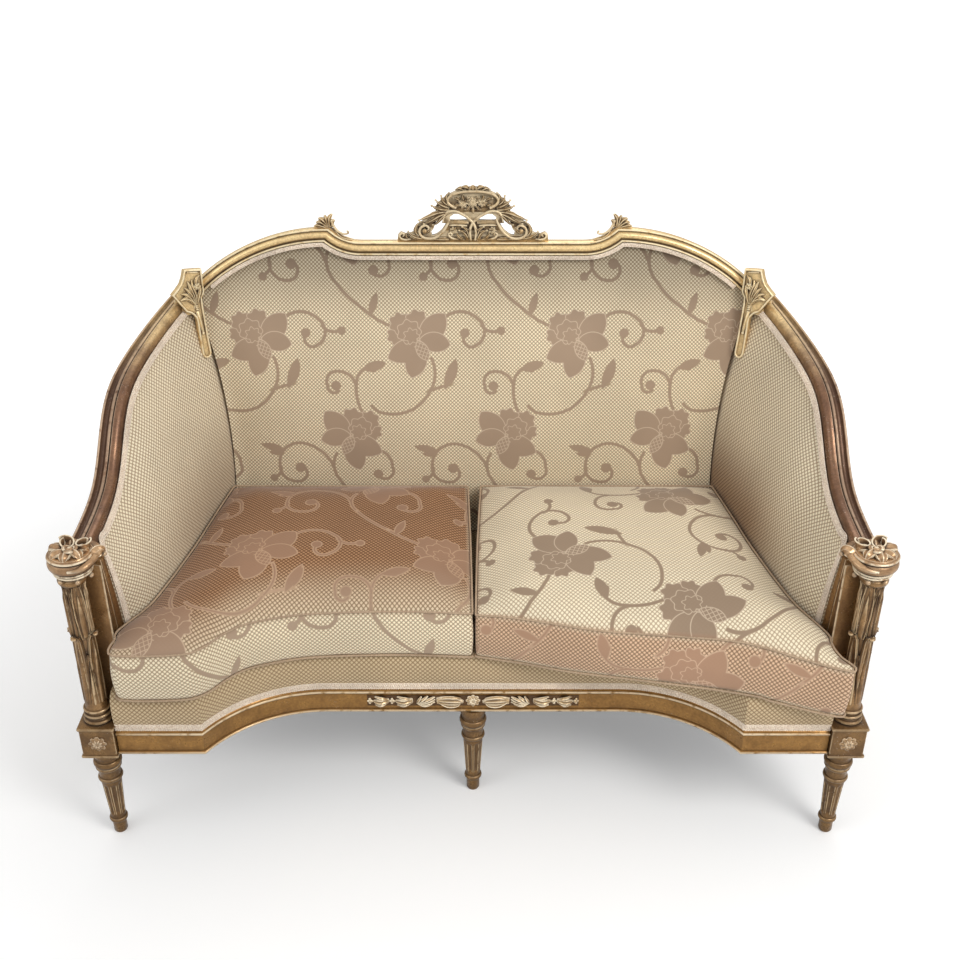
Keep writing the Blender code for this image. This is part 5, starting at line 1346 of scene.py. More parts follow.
def coons(front, back, left, right):
    # grid of points between four edges
    u = np.linspace(0, 1, len(front))[:, None, None]
    v = np.linspace(0, 1, len(left))[None, :, None]
    corners = ((1 - u) * (1 - v) * front[0] + u * (1 - v) * front[-1] + (1 - u) * v * back[0]
               + u * v * back[-1])
    return (1 - v) * front[:, None] + v * back[:, None] + (1 - u) * left[None] + u * right[None] - corners


def boxedCushion(top, bottom, shadeOf):
    # top and bottom grids (columns, rows, 3) joined by boxing; the ring is the upper seam's points,
    # the count those of one grid
    cols, rows = top.shape[:2]
    count = cols * rows
    ids = np.arange(count).reshape(cols, rows)
    ring = np.concatenate([ids[:-1, 0], ids[-1, :-1], ids[:0:-1, -1], ids[0, :0:-1]])
    size, levels = len(ring), cushionLook["box"]
    topPts, lowPts = top.reshape(-1, 3), bottom.reshape(-1, 3)
    rings = [topPts[ring]]
    index = [ring]
    # the boxing swells where nothing holds it, at the front
    closed = np.vstack([topPts[ring], topPts[ring[:1]]])
    outward = unit(np.cross(tangents(closed), (0, 0, 1.0)))[:-1]
    free = smoothStep(0.25, 0.75, -outward[:, 1])[:, None] * cushionLook["swell"]
    for k in range(1, levels):
        rings.append(lerp(topPts[ring], lowPts[ring], k / levels)
                     + outward * free * math.sin(math.pi * k / levels))
        index.append(2 * count + (k - 1) * size + np.arange(size))
    index.append(ring + count)
    verts = np.vstack([topPts, lowPts] + rings[1:])
    along = runLength(closed)
    flat = gridFaces(cols, rows)
    faces = list(flat) + [f[::-1] + count for f in flat]
    uv = [verts[f][:, :2] for f in faces]
    for k in range(levels):
        for r in range(size):
            q = (r + 1) % size
            cell = np.array([index[k][r], index[k + 1][r], index[k + 1][q], index[k][q]])
            faces.append(cell)
            z = verts[cell][:, 2]
            uv.append(np.stack([[along[r], along[r], along[r + 1], along[r + 1]],
                                z + cushionLook["boxShift"]], -1))
    shade = np.zeros(len(verts))
    shade[:count] = shadeOf(topPts)
    shade[2 * count:] = shadeOf(None)
    shade[ring] = 0.5 * (shade[ring] + shadeOf(None))
    return verts, faces, np.vstack(uv), shade, ring, count


def flatLine(line, count):
    return smoothLine([(*p, 0.0) for p in line], count)


def cushionPiece(name, body, slot, stands, front, frontLow, left, right, shadeOf, drop,
                 crossways=False):
    # outlines in plan, the front edge apart for the upper and the lower seam
    nu, nv, look = cushionLook["columns"], cushionLook["rows"], cushionLook
    sideLeft, sideRight = flatLine(left, nv), flatLine(right, nv)
    grids = []
    for line in (front, frontLow):
        edge = flatLine(line, nu)
        t = np.linspace(1, 0, nv)[:, None] ** 3
        a, b = sideLeft + (edge[0] - sideLeft[0]) * t, sideRight + (edge[-1] - sideRight[0]) * t
        ends = np.linspace(0, 1, nu)[:, None]
        grids.append(coons(edge, lerp(a[-1], b[-1], ends), a, b))
    top, bottom = grids
    s, t = np.meshgrid(np.linspace(0, 1, nu), np.linspace(0, 1, nv), indexing="ij")
    # the top rises from its seams over a hand's breadth
    rise = [1 - (1 - np.minimum(np.minimum(q, 1 - q) / look["shoulder"], 1)) ** 2 for q in (s, t)]
    top[..., 2] = look["seam"] - drop(top) + look["crown"] * (rise[0] * rise[1]) + look["backRise"] * t ** 2
    bottom[..., 2] = look["bottom"] - drop(bottom) * (bottom[..., 1] < look["overhang"])
    verts, faces, uv, shade, ring, count = boxedCushion(top, bottom, shadeOf)
    pins = np.zeros(len(verts))
    pins[ring] = look["seamHold"]
    pins[count:2 * count] = 1.0
    full = inflate(verts, faces, pins, look["pressure"], look["cap"])
    full[count:2 * count] = verts[count:2 * count]
    mesh = bpy.data.meshes.new(name)
    mesh.from_pydata(full.tolist(), [], [list(map(int, f)) for f in faces])
    layer = mesh.uv_layers.new(name="cloth")
    uv = uv[:, ::-1] * (1, -1) if crossways else uv
    layer.data.foreach_set("uv", (uv / look["scale"]).astype(np.float32).ravel())
    mesh.attributes.new("shade", "FLOAT", "POINT").data.foreach_set("value", shade.astype(np.float32))
    mesh.shade_smooth()
    mesh.materials.append(finish[slot])
    piece = bpy.data.objects.new(name, mesh)
    scene.collection.objects.link(piece)
    finer = piece.modifiers.new("finer", "SUBSURF")
    finer.levels = finer.render_levels = 1
    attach(piece, body)
    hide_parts(stands)
    # welts along both seams
    sides = look["weltSides"]
    for tag, start, lift in (("TopWelt", 0, 0.0006), ("LowWelt", count, -0.0002)):
        path = evenLine(np.vstack([full[ring + start], full[ring[:1] + start]]), 420)[:-1]
        outward = unit(np.cross(tangents(path, True), (0, 0, 1.0)))
        path = path + outward * 0.0012 + (0, 0, lift)
        cord = tube(path, look["welt"], sides, closed=True, up=(0, 0, 1))
        uv = np.stack([np.repeat(runLength(path), sides), np.tile(np.arange(sides) * 0.0022, len(path))], -1)
        makePiece(name + tag, [cord], slot, "welt", body=body, uv=uv, sharp=None)


# front edges and free sides in plan
leftFront = [(-0.636, -0.3575), (-0.6, -0.36), (-0.545, -0.358), (-0.505, -0.352), (-0.478, -0.33),
             (-0.457, -0.3), (-0.426, -0.27), (-0.385, -0.252), (-0.321, -0.235), (-0.248, -0.228),
             (-0.136, -0.225), (-0.06, -0.228), (-0.002, -0.232)]
leftOuter = [(-0.636, -0.3575), (-0.6465, -0.349), (-0.6475, -0.33), (-0.644, -0.312)]
leftInner = [(-0.002, -0.232), (-0.006, 0.0), (-0.012, 0.219)]
rightFront = [(0.006, -0.236), (0.06, -0.242), (0.123, -0.256), (0.231, -0.284), (0.374, -0.302),
              (0.481, -0.318), (0.578, -0.354), (0.63, -0.3735), (0.656, -0.3825), (0.669, -0.385)]
rightLow = [(0.006, -0.23), (0.09, -0.25), (0.181, -0.276), (0.309, -0.301), (0.452, -0.33), (0.587, -0.368),
            (0.63, -0.3805), (0.652, -0.3855), (0.664, -0.3865)]
rightOuter = [(0.669, -0.385), (0.6738, -0.38), (0.6715, -0.3715), (0.664, -0.36), (0.6545, -0.3455),
              (0.648, -0.325), (0.646, -0.3)]
rightInner = [(0.006, -0.236), (0.01, 0.0), (0.018, 0.219)]


# share of the brown colours at the points of the top, or of the boxing where there are none: partly the
# cloth's reverse face, partly painted sheen and shade, the left top lighter towards its front edge
def leftShade(points):
    if points is None:
        return 0.0
    edge = np.interp(points[:, 0], *zip(*leftFront))
    return 0.42 + 0.58 * smoothStep(-0.01, 0.13, points[:, 1] - edge)


def rightShade(points):
    return 0.72 if points is None else np.zeros(len(points))


# how far the seams sink
def level(points):
    return 0.0 * points[..., 0]


def cornerSag(points):
    return 0.014 * smoothStep(0.46, 0.67, points[..., 0]) * smoothStep(-0.2, -0.37, points[..., 1])


cushionPiece("seatCushionLeft", "cushion_left", "cushion_brown", "seat_cushion_left", leftFront, leftFront,
             leftOuter + [(-x, y) for y, x in cushionSide], leftInner, leftShade, level)
cushionPiece("seatCushionRight", "cushion_right", "cushion_cream", "seat_cushion_right", rightFront, rightLow,
             rightInner, rightOuter + [(x, y) for y, x in cushionSide], rightShade, cornerSag, True)
print("cushions ready")


# carved work
def plate(outlines, half, bevel=0.0008):
    # flat filled shape on XZ from closed outlines, inner ones as holes; depth runs along Y
    curve = bpy.data.curves.new("outline", "CURVE")
    curve.dimensions = "2D"
    curve.fill_mode = "BOTH"
    curve.extrude = half
    curve.bevel_depth = bevel
    curve.bevel_resolution = 1
    for line in outlines:
        spline = curve.splines.new("POLY")
        spline.points.add(len(line) - 1)
        spline.points.foreach_set("co", np.array([(x, z, 0.0, 1.0) for x, z in line]).ravel())
        spline.use_cyclic_u = True
    item = bpy.data.objects.new("outline", curve)
    scene.collection.objects.link(item)
    mesh = bpy.data.meshes.new_from_object(item.evaluated_get(bpy.context.evaluated_depsgraph_get()))
    points = np.array([v.co[:] for v in mesh.vertices])
    _, firsts, merged = np.unique(points.round(6), axis=0, return_index=True, return_inverse=True)
    merged = merged.ravel()
    faces = []
    for cell in mesh.polygons:
        loop = [int(merged[i]) for i in cell.vertices]
        loop = [i for k, i in enumerate(loop) if i != loop[k - 1]]
        if len(set(loop)) > 2:
            faces.append(loop)
    bpy.data.objects.remove(item, do_unlink=True)
    bpy.data.curves.remove(curve)
    bpy.data.meshes.remove(mesh)
    points = points[firsts]
    return np.stack([points[:, 0], -points[:, 2], points[:, 1]], -1), faces


def inset(outline, amount):
    # moves a closed outline inwards; it runs clockwise seen from the front
    p = np.array(outline, float)
    before, after = unit(p - np.roll(p, 1, 0)), unit(np.roll(p, -1, 0) - p)
    n1 = np.stack([before[:, 1], -before[:, 0]], -1)
    n2 = np.stack([after[:, 1], -after[:, 0]], -1)
    n = unit(n1 + n2)
    return p + n * (amount / np.maximum(0.5, np.sum(n * n1, axis=1)))[:, None]


def rimmed(outline, thick, rim, high):
    # plate with a raised half-round rim around a sunken field, front at y = 0
    rows = [(0.0, thick), (0.0, 0.0), (rim * 0.12, -high * 0.62), (rim * 0.32, -high * 0.95),
            (rim * 0.5, -high), (rim * 0.7, -high * 0.9), (rim * 0.9, -high * 0.5), (rim, 0.0),
            (rim * 1.12, high * 0.35)]
    rings = []
    for amount, y in rows:
        line = inset(outline, amount)
        rings.append(np.stack([line[:, 0], np.full(len(line), y), line[:, 1]], -1))
    return np.vstack(rings), rodFaces(len(rings), len(outline), caps=(1, 1))


def drawnLeaves(drawing, spot, look):
    # leaves given by half width and points, all carved alike, some with a pearl at the tip
    made = []
    for half, points in drawing:
        spine = [spot(x, y, out) for (x, y), out in zip(points, look["out"])]
        widths = [half * share for share in look["widths"]]
        made.append(leaf(spine, widths, (0, -1, 0), look["relief"], look["thick"], 1.5, lobes=look["lobes"],
                         lobeDepth=look["lobeDepth"]))
        if "pearl" in look:
            made.append(ball(spine[-1], half * look["pearl"], (1, 0.9, 1)))
    return made


cornerOutline = [(-0.024, 0.07), (-0.006, 0.0698), (0.0127, 0.069), (0.0134, 0.0494), (0.0143, 0.033),
                 (0.0151, 0.0217), (0.0125, 0.015), (0.0096, 0.01), (0.0098, -0.004), (0.0125, -0.0338),
                 (0.0162, -0.0714), (0.0196, -0.1), (0.0203, -0.1085), (0.0185, -0.1145), (0.014, -0.1182),
                 (0.0088, -0.1192), (0.004, -0.1165), (0.0008, -0.111), (-0.0002, -0.105),
                 (-0.0021, -0.0841), (-0.004, -0.0585), (-0.0056, -0.0361), (-0.0075, -0.031),
                 (-0.011, -0.0258), (-0.017, -0.0204), (-0.0262, -0.0169), (-0.053, 0.02), (-0.0425, 0.0306),
                 (-0.0336, 0.0412), (-0.0284, 0.0536)]
# sprig leaves from the collar: half width in metres, points
sprigLeaves = [(0.0036, [(512, 716), (440, 640), (360, 612), (290, 640)]),
               (0.0036, [(508, 706), (430, 610), (360, 560), (296, 548)]),
               (0.0034, [(508, 696), (450, 580), (390, 500), (338, 462)]),
               (0.0034, [(514, 690), (470, 560), (420, 450), (384, 372)]),
               (0.0032, [(520, 686), (500, 560), (452, 440), (446, 352)]),
               (0.0034, [(530, 690), (544, 580), (560, 480), (536, 400)]),
               (0.0026, [(528, 470), (500, 390), (510, 330), (556, 286)])]


sprigLook = {"out": (0.0016, 0.005, 0.0056, 0.0026), "widths": (0.35, 0.85, 1.1, 0.9, 0.3), "relief": 0.0024,
             "thick": 0.004, "lobes": 2, "lobeDepth": 0.15}
# head behind the shield that the rails run into
cornerHead = [(-0.022, 0.008), (-0.01, 0.024), (0.01, 0.024), (0.018, 0.006), (0.015, -0.022),
              (-0.008, -0.026), (-0.024, -0.01)]


def cornerSpot(cx, cy, out):
    # the drawing is turned a little against the shield
    return (1.4513e-4 * cx - 1.172e-5 * cy - 0.07058, -out, -1.425e-5 * cx - 1.4625e-4 * cy + 0.10586)


def makeCorners():
    parts = [rimmed(cornerOutline, 0.014, 0.0048, 0.0032)] + drawnLeaves(sprigLeaves, cornerSpot, sprigLook)
    parts += moved(carvedRosette(0.0078, 6), Matrix.Translation(cornerSpot(520, 440, 0.003)) @ facingFront)
    for y in (716, 742, 768):
        parts.append(ball(cornerSpot(518 + (y - 716) * 0.16, y, 0.0014), 0.004, (1, 0.62, 0.44)))
    tongue = [(530, 790, 0.0014), (560, 900, 0.0042), (596, 1030, 0.0044), (614, 1100, 0.002)]
    parts.append(leaf([cornerSpot(*p) for p in tongue], [0.0032, 0.0034, 0.0032, 0.003, 0.0016], (0, -1, 0),
                      0.002, 0.0044, 1.0))
    parts.append(ball(cornerSpot(616, 1104, 0.0016), 0.0028, (1, 0.7, 1)))
    bar = [(380, 248, 0.0004), (455, 246, 0.0004), (530, 244, 0.0004)]
    parts.append(tube([cornerSpot(*p) for p in bar], 0.0013, 8))
    turn, high = sofa["cornerTurn"], sofa["cornerHeight"]
    forward = np.array((math.sin(turn), -math.cos(turn), 0))
    place = np.array((-sofa["cornerX"], 0.004, high)) + forward * 0.032
    parts = moved(parts, Matrix.Translation(place) @ Matrix.Rotation(turn, 4, "Z"))
    middle, half = (sofa["crestBack"] - 0.026) / 2, (sofa["crestBack"] + 0.026) / 2
    block = moved([plate([cornerHead], half, 0.0012)],
                  Matrix.Translation((-sofa["cornerX"] - 0.008, middle, high)))
    makePair("cornerBlock", moved(parts + block, rakeMatrix), "gilt_crest", stands="corner_block")


makeCorners()

# crest carving, drawn in units of 0.23 mm from a centre line at 780
crestDraw = {"centre": 780.4, "base": 543.0, "wide": 0.0002263, "tall": 0.0002419, "foot": 0.7431,
             "back": 0.0125}
crestLook = {"out": (0.0035, 0.0075, 0.0085, 0.0045), "widths": (0.5, 1, 0.95, 0.6, 0.12), "relief": 0.003,
             "thick": 0.007, "lobes": 3, "lobeDepth": 0.2, "pearl": 0.42}


def crestSpot(cx, cy, out=0.0):
    high = crestDraw["foot"] + (crestDraw["base"] - cy) * crestDraw["tall"]
    return ((cx - crestDraw["centre"]) * crestDraw["wide"], crestDraw["back"] - out, high)


# half width in metres, relief from and to, points
crestRods = [
    (0.0027, 0.006, 0.01,
     [(350, 464), (374, 456), (380, 432), (356, 414), (320, 424), (298, 455), (306, 492), (345, 516),
      (400, 522), (455, 507), (505, 467), (540, 420), (560, 385), (572, 352)]),
    (0.0019, 0.004, 0.006,
     [(146, 506), (158, 494), (148, 480), (128, 484), (118, 504), (134, 524), (172, 532), (216, 526)]),
    (0.0025, 0.006, 0.01,
     [(512, 384), (518, 342), (545, 306), (590, 293), (640, 299), (700, 326), (745, 356), (778, 386),
      (800, 425), (807, 470), (800, 534)]),
    (0.002, 0.005, 0.006,
     [(650, 530), (606, 524), (572, 508), (562, 488), (576, 476), (590, 486), (582, 498)]),
    (0.0042, 0.002, 0.002, [(556, 390), (640, 388), (742, 392)]),
    (0.002, 0.003, 0.003, [(566, 414), (640, 412), (728, 418)]),
]
# half width in metres, points
crestLeaves = [
    (0.0058, [(562, 302), (470, 308), (380, 338), (296, 370)]),
    (0.0058, [(562, 310), (480, 334), (410, 370), (338, 402)]),
    (0.0046, [(552, 318), (500, 346), (456, 392), (420, 408)]),
    (0.0056, [(566, 288), (500, 280), (450, 268), (410, 250)]),
    (0.0056, [(566, 270), (512, 250), (474, 228), (446, 204)]),
    (0.0052, [(562, 250), (522, 222), (503, 194), (496, 168)]),
    (0.0046, [(560, 226), (544, 196), (546, 166), (566, 142)]),
    (0.0046, [(300, 512), (262, 464), (272, 416), (306, 382)]),
    (0.0046, [(322, 524), (266, 512), (220, 488), (196, 462)]),
    (0.0036, [(262, 528), (226, 506), (204, 490), (180, 494)]),
    (0.003, [(206, 532), (184, 506), (182, 480), (192, 468)]),
    (0.005, [(742, 537), (726, 500), (700, 470), (656, 456)]),
    (0.0046, [(748, 532), (736, 480), (716, 444), (684, 426)]),
    (0.0044, [(766, 537), (748, 486), (752, 440), (768, 416)]),
    (0.004, [(700, 534), (664, 516), (640, 494), (634, 470)]),
    (0.0036, [(352, 474), (372, 468), (392, 450), (400, 436)]),
    (0.004, [(560, 532), (520, 528), (470, 526), (420, 530)]),
    (0.005, [(704, 126), (680, 112), (656, 106), (630, 116)]),
    (0.0052, [(752, 122), (726, 102), (700, 94), (672, 98)]),
    (0.004, [(664, 214), (644, 196), (628, 190), (606, 190)]),
    (0.0036, [(700, 206), (690, 186), (686, 172), (694, 160)]),
    (0.0036, [(660, 240), (640, 246), (622, 250), (604, 246)]),
    (0.0034, [(752, 250), (738, 268), (728, 278), (712, 282)]),
]


# roses with their radius, then the left half of the pierced plate and its holes
crestRoses = [(690, 232, 0.01), (780, 222, 0.0112), (868, 226, 0.01), (604, 456, 0.0078), (957, 456, 0.0078),
              (736, 196, 0.0062), (826, 194, 0.0062)]
crestOutline = [(100, 545), (108, 492), (128, 474), (170, 490), (206, 486), (250, 470), (276, 416),
                (316, 388), (390, 348), (450, 306), (446, 262), (478, 224), (520, 190), (574, 158),
                (640, 128), (706, 108), (780.4, 98)]
crestHoles = [
    [(566, 346), (604, 318), (650, 316), (712, 346), (744, 374), (640, 376), (566, 376)],
    [(446, 378), (520, 352), (506, 392), (548, 396), (500, 458), (452, 492), (408, 504), (396, 470),
     (420, 440)],
]


def makeCrest():
    left = []
    for half, low, high, points in crestRods:
        flat = smoothLine(points, max(14, 5 * len(points)))
        path = [crestSpot(x, y, out) for (x, y), out in zip(flat, np.linspace(low, high, len(flat)))]
        grow = np.interp(np.linspace(0, 1, len(path)), [0, 0.12, 0.8, 1], [0.55, 1, 1, 0.7])
        left.append(tube(path, half * grow, 10, up=(0, -1, 0), squash=0.9))
    left += drawnLeaves(crestLeaves, crestSpot, crestLook)
    left.append(ball(crestSpot(346, 462, 0.006), 0.0056, (1, 0.8, 1)))
    parts = left + flipX(left)
    # oval rim, open below, over a sunken field
    oval = []
    for a in np.radians(np.linspace(-52, 232, 70)):
        aside = math.copysign(abs(math.cos(a)) ** 0.85, math.cos(a))
        oval.append(crestSpot(crestDraw["centre"] + 226 * aside, 206 - 76 * math.sin(a), 0.0085))
    parts.append(tube(oval, 0.003, 10, up=(0, -1, 0)))
    topLeaf = [(780, 126, 0.004), (780, 104, 0.009), (780, 80, 0.005)]
    parts.append(leaf([crestSpot(*p) for p in topLeaf], [0.006, 0.0085, 0.0075, 0.002], (0, -1, 0), 0.0032,
                      0.007, 2.5))
    drop = [(780, 262, 0.004), (782, 288, 0.0075), (782, 318, 0.004)]
    parts.append(leaf([crestSpot(*p) for p in drop], [0.002, 0.0042, 0.0036, 0.0006], (0, -1, 0), 0.0026,
                      0.005, 1.0))
    for x, y, radius in crestRoses:
        parts += moved(carvedRosette(radius, 7), Matrix.Translation(crestSpot(x, y, 0.003)) @ facingFront)
    across = 2 * crestDraw["centre"]
    outline = crestOutline + [(across - x, y) for x, y in reversed(crestOutline[:-1])]
    holes = crestHoles + [[(across - x, y) for x, y in hole] for hole in crestHoles]
    flat = [[crestSpot(x, y)[::2] for x, y in line] for line in [outline] + holes]
    parts += moved([plate(flat, 0.005, 0.0012)], Matrix.Translation((0, 0.0185, 0)))
    makePiece("crestCarving", moved(parts, rakeMatrix), "gilt_crest", "carving", replaces=["crest_carving"])


makeCrest()
print("crest ready")

# leaves on the ears of the crest rail: units of 0.09 mm from the mitre
earLeaves = [
    (0.0052, [(700, 476), (682, 390), (690, 290), (756, 204)]),
    (0.0046, [(664, 468), (640, 390), (618, 310), (584, 232)]),
    (0.0048, [(648, 474), (600, 390), (520, 316), (446, 300)]),
    (0.0046, [(628, 482), (560, 420), (470, 372), (396, 392)]),
    (0.0042, [(608, 492), (530, 462), (440, 440), (350, 462)]),
    (0.0042, [(744, 484), (748, 410), (770, 350), (816, 340)]),
    (0.004, [(820, 566), (900, 650), (1010, 706), (1190, 748)]),
]


earLook = {"out": (0.002, 0.0055, 0.0065, 0.004), "widths": (0.6, 1, 1.05, 0.9, 0.5), "relief": 0.0028,
           "thick": 0.008, "lobes": 2, "lobeDepth": 0.12}
earScroll = [(740, 330), (772, 430), (840, 530), (940, 600), (1040, 622), (1104, 598), (1096, 560),
             (1066, 566)]
earBase = [(330, 486), (470, 492), (620, 500), (760, 570), (900, 672), (1060, 738), (1250, 772)]


def earSpot(cx, cy, out):
    return (-sofa["earX"] + (cx - 610) * 0.0000915, 0.0135 - out, 0.77 + (490 - cy) * 0.000097)


def makeEars():
    parts = drawnLeaves(earLeaves, earSpot, earLook)
    scroll = [earSpot(x, y, 0.006) for x, y in smoothLine(earScroll, 34)]
    parts.append(tube(scroll, np.linspace(0.003, 0.0018, 34), 10, up=(0, -1, 0)))
    base = [earSpot(x, y, -0.001) for x, y in smoothLine(earBase, 30)]
    grow = np.interp(np.linspace(0, 1, 30), [0, 0.3, 0.8, 1], [0.45, 1, 0.8, 0.4])
    parts.append(tube(base, 0.0055 * grow, 10, up=(0, -1, 0)))
    makePair("earLeaf", moved(parts, rakeMatrix), "gilt_crest", "carving", "ear_leaf")


makeEars()


apron = {"front": -0.2264, "mid": 0.242, "wide": 1.05, "deep": 1.8, "shadeSheetX": 0.206, "shadeSheetZ": 0.0128}


def apronLeaf(points, rise, widths, relief=0.0034, ribs=1.0, **cuts):
    # leaf along points (x, z) from the middle of the rail
    outs = np.interp(np.linspace(0, 1, len(points)), [0, 0.5, 1], [0.0008, rise, 0.0012])
    spine = [(x * apron["wide"], apron["front"] - out * apron["deep"], apron["mid"] + z)
             for (x, z), out in zip(points, outs)]
    return leaf(spine, widths, (0, -1, 0), relief, 0.003, ribs, **cuts)


def makeApron():
    # garland on the front rail: rosette, acanthus, palmette and two buds to each side
    front, mid, wide = apron["front"], apron["mid"], apron["wide"]
    acanthus = [(0.067, 0.0), (0.045, 0.002), (0.03, 0.001), (0.018, -0.002)]
    side = [apronLeaf(acanthus, 0.0035, [0.0075, 0.0098, 0.01, 0.008, 0.003], ribs=2.5, cols=15)]
    for sign in (1, -1):
        edge = [(0.066, 0.003 * sign), (0.048, 0.0105 * sign), (0.03, 0.0095 * sign), (0.022, 0.004 * sign)]
        side.append(apronLeaf(edge, 0.005, [0.0012, 0.003, 0.0028, 0.001], 0.002))
    side.append(ball((0.0236, front - 0.003, mid + 0.0005), 0.0036, (1.2, 0.8, 1)))
    for x, z in ((0.0705, 0.0095), (0.07, 0.0035), (0.0705, -0.003), (0.076, -0.0085), (0.083, 0.0115),
                 (0.095, 0.0115)):
        frond = [(0.1045, -0.006), (lerp(0.1045, x, 0.5), lerp(-0.006, z, 0.62)), (x, z)]
        side.append(apronLeaf(frond, 0.0045, [0.001, 0.0026, 0.003, 0.001], 0.0018))
    for start, end, half in ((0.112, 0.144, 0.0092), (0.156, 0.185, 0.0084)):
        bud = [(start, 0.0), (lerp(start, end, 0.5), 0.0008), (end, 0.0)]
        side.append(apronLeaf(bud, 0.0048, [half * 0.75, half, half * 0.85, half * 0.3], ribs=2.5, lobes=2,
                              lobeDepth=0.15, cols=13))
        for sign in (1, -1):
            sepal = [(start, 0.002 * sign), (lerp(start, end, 0.45), 0.0085 * sign),
                     (lerp(start, end, 0.9), 0.0098 * sign)]
            side.append(apronLeaf(sepal, 0.004, [0.001, 0.003, 0.0008], 0.0016))
        side.append(ball(((end + 0.0042) * wide, front - 0.002, mid), 0.0036, (1.1, 0.8, 1.0)))
        for z in (0.0046, -0.0046):
            side.append(ball(((end + 0.0064) * wide, front - 0.0015, mid + z), 0.0026, (1, 0.8, 1)))
        side.append(ball(((end + 0.0092) * wide, front - 0.0016, mid), 0.0024, (1, 0.8, 1)))
    rose = moved(carvedRosette(0.014, 8), Matrix.Translation((0, front, mid)) @ facingFront)
    # a dark sheet behind the garland: painted shade on the rail around the carving
    x, z = apron["shadeSheetX"], apron["shadeSheetZ"]
    ground = plate([[(-x, -z), (-x, z), (x, z), (x, -z)]], 0.0003, 0.0)
    makePiece("apronShadeSheet", moved([ground], Matrix.Translation((0, front + 0.0001, mid))), "gilt_rail",
              "apronShadeSheet")
    makePiece("apronCarving", side + flipX(side) + rose, "gilt_rail", "apron", replaces=["apron_carving"])


makeApron()
print("carving ready")


# arm knuckles with their roses
def curledPetal(angle, inner, outer, low, high, wide, roll):
    # upright petal leaning out, its lip rolled over
    t, s = np.linspace(0, 1, 18), np.linspace(-1, 1, 15)
    r = lerp(inner, outer, t ** 1.4)
    z = lerp(low, high, np.sin(t * math.pi * 0.5))
    tip = np.clip((t - 0.72) / 0.28, 0, 1)
    r = r + roll * np.sin(tip * math.pi * 0.75)
    z = z - roll * 0.8 * (1 - np.cos(tip * math.pi * 0.75))
    span = wide * np.interp(t, [0, 0.5, 0.85, 1], [0.55, 0.95, 1.0, 0.86])
    turn = angle + span[:, None] * s[None]
    rr = r[:, None] - 0.0035 * (s[None] ** 2) * t[:, None]
    zz = z[:, None] - 0.004 * (s[None] ** 2) * t[:, None]
    front = np.stack([rr * np.cos(turn), rr * np.sin(turn), zz], -1)
    back = np.stack([(rr - 0.0026) * np.cos(turn), (rr - 0.0026) * np.sin(turn), zz - 0.0006], -1)
    return shell(front, back)


knuckle = {"top": 0.6535, "budX": 0.004, "budY": -0.009}
# band leaving the drum for the rail
knuckleBand = [(0.004, -0.04, 0.633), (0.024, -0.0325, 0.6345), (0.0375, -0.016, 0.639),
               (0.042, 0.006, 0.642), (0.037, 0.026, 0.642), (0.024, 0.046, 0.637)]
# angle, reach and half width of the leaves lying over the drum
drumLeaves = [(168, 0.0385, 0.012), (222, 0.035, 0.01), (268, 0.0345, 0.0105), (318, 0.034, 0.01),
              (6, 0.033, 0.0095), (95, 0.033, 0.011)]
# angle, reach, radius, height and lean of the two rolled petals
rolledPetals = [(128, 0.013, 0.014, 0.0235, -10), (22, 0.021, 0.0135, 0.024, 8)]


def drumProfile():
    # (radius, height) above the drum's underside
    rows = [(0.0235, 0.0), (0.0246, 0.0016), (0.0272, 0.0046), (0.0304, 0.0072)]
    rows += bead(0.031, 0.008, 0.0128, 0.0027) + [(0.0312, 0.0135)] + bead(0.033, 0.0141, 0.0184, 0.0025)
    rows += [(0.0338, 0.0194)] + bead(0.0352, 0.0205, 0.0395, 0.0056, 13) + [(0.0352, 0.0402)]
    rows += bead(0.0362, 0.0408, 0.0466, 0.004, 9) + [(0.0352, 0.0482), (0.033, 0.0486), (0.029, 0.0484)]
    rows += [(0.015, 0.05), (0.0, 0.0505)]
    return [(radius, sofa["knuckleBottom"] + height) for radius, height in rows]


def makeKnuckles():
    parts = [lathe(drumProfile(), 72)]
    grow = np.interp(np.linspace(0, 1, 40), [0, 0.25, 0.8, 1], [0.35, 0.95, 1.0, 0.7])
    parts.append(tube(smoothLine(knuckleBand, 40), 0.008 * grow, 14, up=(0, 0, 1), squash=0.85))
    # a leaf curling off the band and pearls below
    curl = [(0.036, -0.004, 0.64), (0.046, 0.002, 0.6485), (0.052, 0.01, 0.647), (0.054, 0.015, 0.638)]
    parts.append(leaf(curl, [0.006, 0.01, 0.009, 0.004], (0.5, -0.6, 0.6), 0.003, 0.004, 1.5))
    parts.append(ball((0.0545, 0.012, 0.6375), 0.0042))
    for a in np.radians((-118, -62, -8)):
        parts.append(ball((0.0318 * math.cos(a), 0.0318 * math.sin(a), 0.605), 0.0046))
    spot = Matrix.Translation((-sofa["knuckleX"], sofa["postY"], 0))
    makePair("armKnuckle", moved(parts, spot), "gilt_post", "knuckle", "arm_knuckle")
    makePair("knuckleRose", moved(knuckleRose(), spot), "gilt_post", "knuckle", "knuckle_rose", sharp=50)


